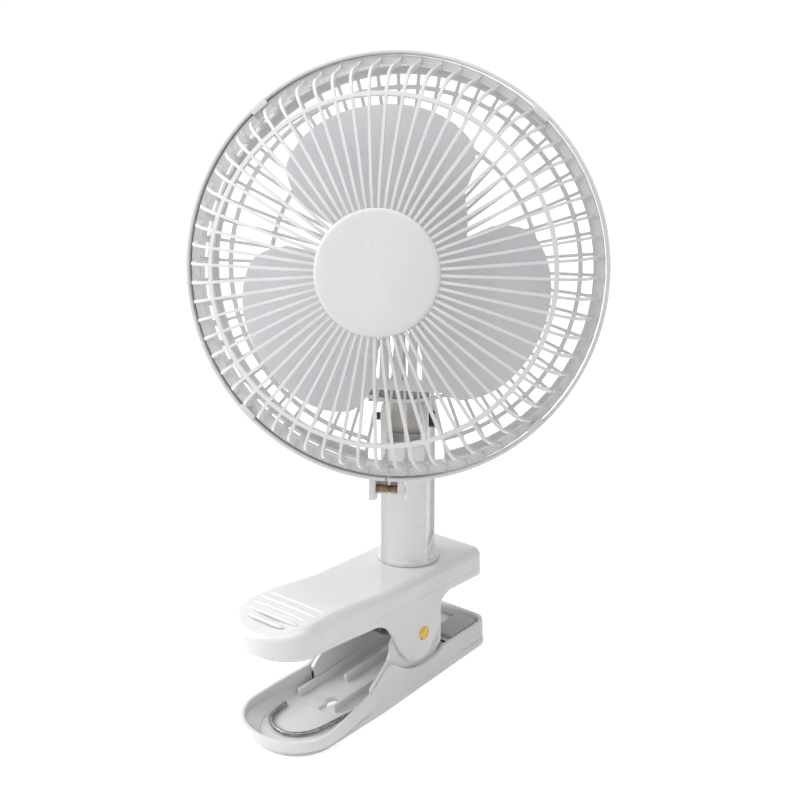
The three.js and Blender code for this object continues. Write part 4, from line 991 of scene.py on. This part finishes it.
def build_stage(look):
    floor_mesh = bpy.data.meshes.new("floor")
    square = [(-1, -1), (1, -1), (1, 1), (-1, 1)]
    corners = [(x * FLOOR_REACH, y * FLOOR_REACH, FLOOR_Z) for x, y in square]
    floor_mesh.from_pydata(corners, [], [(0, 1, 2, 3)])
    floor = new_object("floor", floor_mesh)
    floor_mesh.materials.append(stage_material("matt white floor", linear("#f4f4f4"), look.floor_glow))
    world = bpy.data.worlds.new("white surround")
    bpy.context.scene.world = world
    world.use_nodes = True
    tree = world.node_tree
    tree.nodes.clear()
    seen = seen_rays(tree)
    lit = add_node(tree, "ShaderNodeBackground", {"Color": (1, 1, 1, 1), "Strength": look.surround})
    white = add_node(tree, "ShaderNodeBackground", {"Color": (1, 1, 1, 1), "Strength": 1.0})
    both = add_node(tree, "ShaderNodeMixShader", {0: seen, 1: lit.outputs[0], 2: white.outputs[0]})
    add_node(tree, "ShaderNodeOutputWorld", {"Surface": both.outputs[0]})
    area_lamp("window_left", (-0.9, -0.75, 0.75), 1.2, 0.9, look.key_power)
    area_lamp("ceiling", (0.1, -0.2, 1.0), 1.3, 1.2, look.top_power)
    camera()
    bpy.context.scene.view_settings.view_transform = "Standard"


# ---- add-on ------------
def colour_prop(name, description, default):
    return bpy.props.FloatVectorProperty(
        name=name, description=description, subtype="COLOR", size=3, min=0, max=1,
        default=linear(default)[:3])


class ClipFanLook(bpy.types.PropertyGroup):
    white: colour_prop("White", "Main colour of the white plastic", "#ededec")
    white_shade: colour_prop("White, clouded", "The plastic where it is a little clouded", "#e6e6e7")
    spoke_wide: bpy.props.FloatProperty(
        name="Spoke width", description="Width of a guard bar across", default=0.0013, unit="LENGTH",
        min=0.001)
    spoke_deep: bpy.props.FloatProperty(
        name="Spoke depth", description="Depth of a guard bar", default=0.0022, unit="LENGTH", min=0.001)
    wire: bpy.props.FloatProperty(
        name="Spring wire", description="Diameter of the clip spring's wire", default=0.0022, unit="LENGTH")
    key_power: bpy.props.FloatProperty(
        name="Window lamp", description="Power of the soft lamp on the left", default=9.0, min=0,
        unit="POWER")
    top_power: bpy.props.FloatProperty(
        name="Ceiling lamp", description="Power of the soft lamp overhead", default=6.4, min=0,
        unit="POWER")
    surround: bpy.props.FloatProperty(
        name="Surround", description="Strength of the light from all round", default=0.5, min=0)
    floor_glow: bpy.props.FloatProperty(
        name="Floor glow", description="How far the floor is lifted towards white to the eye",
        default=0.62, min=0)


class PieceOperator:
    bl_options = {"REGISTER", "UNDO"}

    def execute(self, context):
        self.build(context.scene.clip_fan)
        return {"FINISHED"}


class CLIPFAN_OT_finishes(PieceOperator, bpy.types.Operator):
    """Make the plastics, metals and rubbers"""

    bl_idname = "clipfan.finishes"
    bl_label = "Finishes"

    def build(self, look):
        make_finishes(look)


class CLIPFAN_OT_clip(PieceOperator, bpy.types.Operator):
    """Make the tray, its pads, the upper jaw and the pivot rivet"""

    bl_idname = "clipfan.clip"
    bl_label = "Clip"

    def build(self, look):
        tray_piece()
        upper_clip_piece()
        pivot_piece()


class CLIPFAN_OT_spring(PieceOperator, bpy.types.Operator):
    """Make the torsion spring between tray and upper jaw"""

    bl_idname = "clipfan.spring"
    bl_label = "Clip spring"

    def build(self, look):
        spring_piece(look.wire / MM)


class CLIPFAN_OT_neck(PieceOperator, bpy.types.Operator):
    """Make the swivelling pillar, its tilt bolt and the arm"""

    bl_idname = "clipfan.neck"
    bl_label = "Neck"

    def build(self, look):
        neck_pieces()


class CLIPFAN_OT_guards(PieceOperator, bpy.types.Operator):
    """Make both guards, the front cap and the clamping hoop with its screw"""

    bl_idname = "clipfan.guards"
    bl_label = "Guards"

    def build(self, look):
        front_guard_piece(look)
        rear_guard_piece()
        front_cap_piece()
        hoop_pieces()


class CLIPFAN_OT_motor(PieceOperator, bpy.types.Operator):
    """Make the motor, its housing and the switch"""

    bl_idname = "clipfan.motor"
    bl_label = "Motor and switch"

    def build(self, look):
        motor_pieces()


class CLIPFAN_OT_rotor(PieceOperator, bpy.types.Operator):
    """Make the blades, hub, shaft and rotor"""

    bl_idname = "clipfan.rotor"
    bl_label = "Blades"

    def build(self, look):
        rotor_pieces()


class CLIPFAN_OT_stage(PieceOperator, bpy.types.Operator):
    """Make the floor, the surround, the lamps and the camera"""

    bl_idname = "clipfan.stage"
    bl_label = "Stage"

    def build(self, look):
        build_stage(look)


OPERATORS = (
    CLIPFAN_OT_stage, CLIPFAN_OT_finishes, CLIPFAN_OT_clip, CLIPFAN_OT_spring, CLIPFAN_OT_neck,
    CLIPFAN_OT_guards, CLIPFAN_OT_motor, CLIPFAN_OT_rotor,
)


class CLIPFAN_PT_panel(bpy.types.Panel):
    bl_idname = "CLIPFAN_PT_panel"
    bl_label = "Clip fan"
    bl_space_type = "VIEW_3D"
    bl_region_type = "UI"
    bl_category = "Clip fan"

    def draw(self, context):
        for operator in OPERATORS:
            self.layout.operator(operator.bl_idname)
        for key in ClipFanLook.__annotations__:
            self.layout.prop(context.scene.clip_fan, key)


CLASSES = (ClipFanLook, *OPERATORS, CLIPFAN_PT_panel)


def register():
    for cls in CLASSES:
        bpy.utils.register_class(cls)
    bpy.types.Scene.clip_fan = bpy.props.PointerProperty(type=ClipFanLook)


def unregister():
    del bpy.types.Scene.clip_fan
    for cls in reversed(CLASSES):
        bpy.utils.unregister_class(cls)


def main():
    register()
    for operator in OPERATORS:
        getattr(bpy.ops.clipfan, operator.bl_idname.split(".")[1])()


if __name__ == "__main__":
    main()
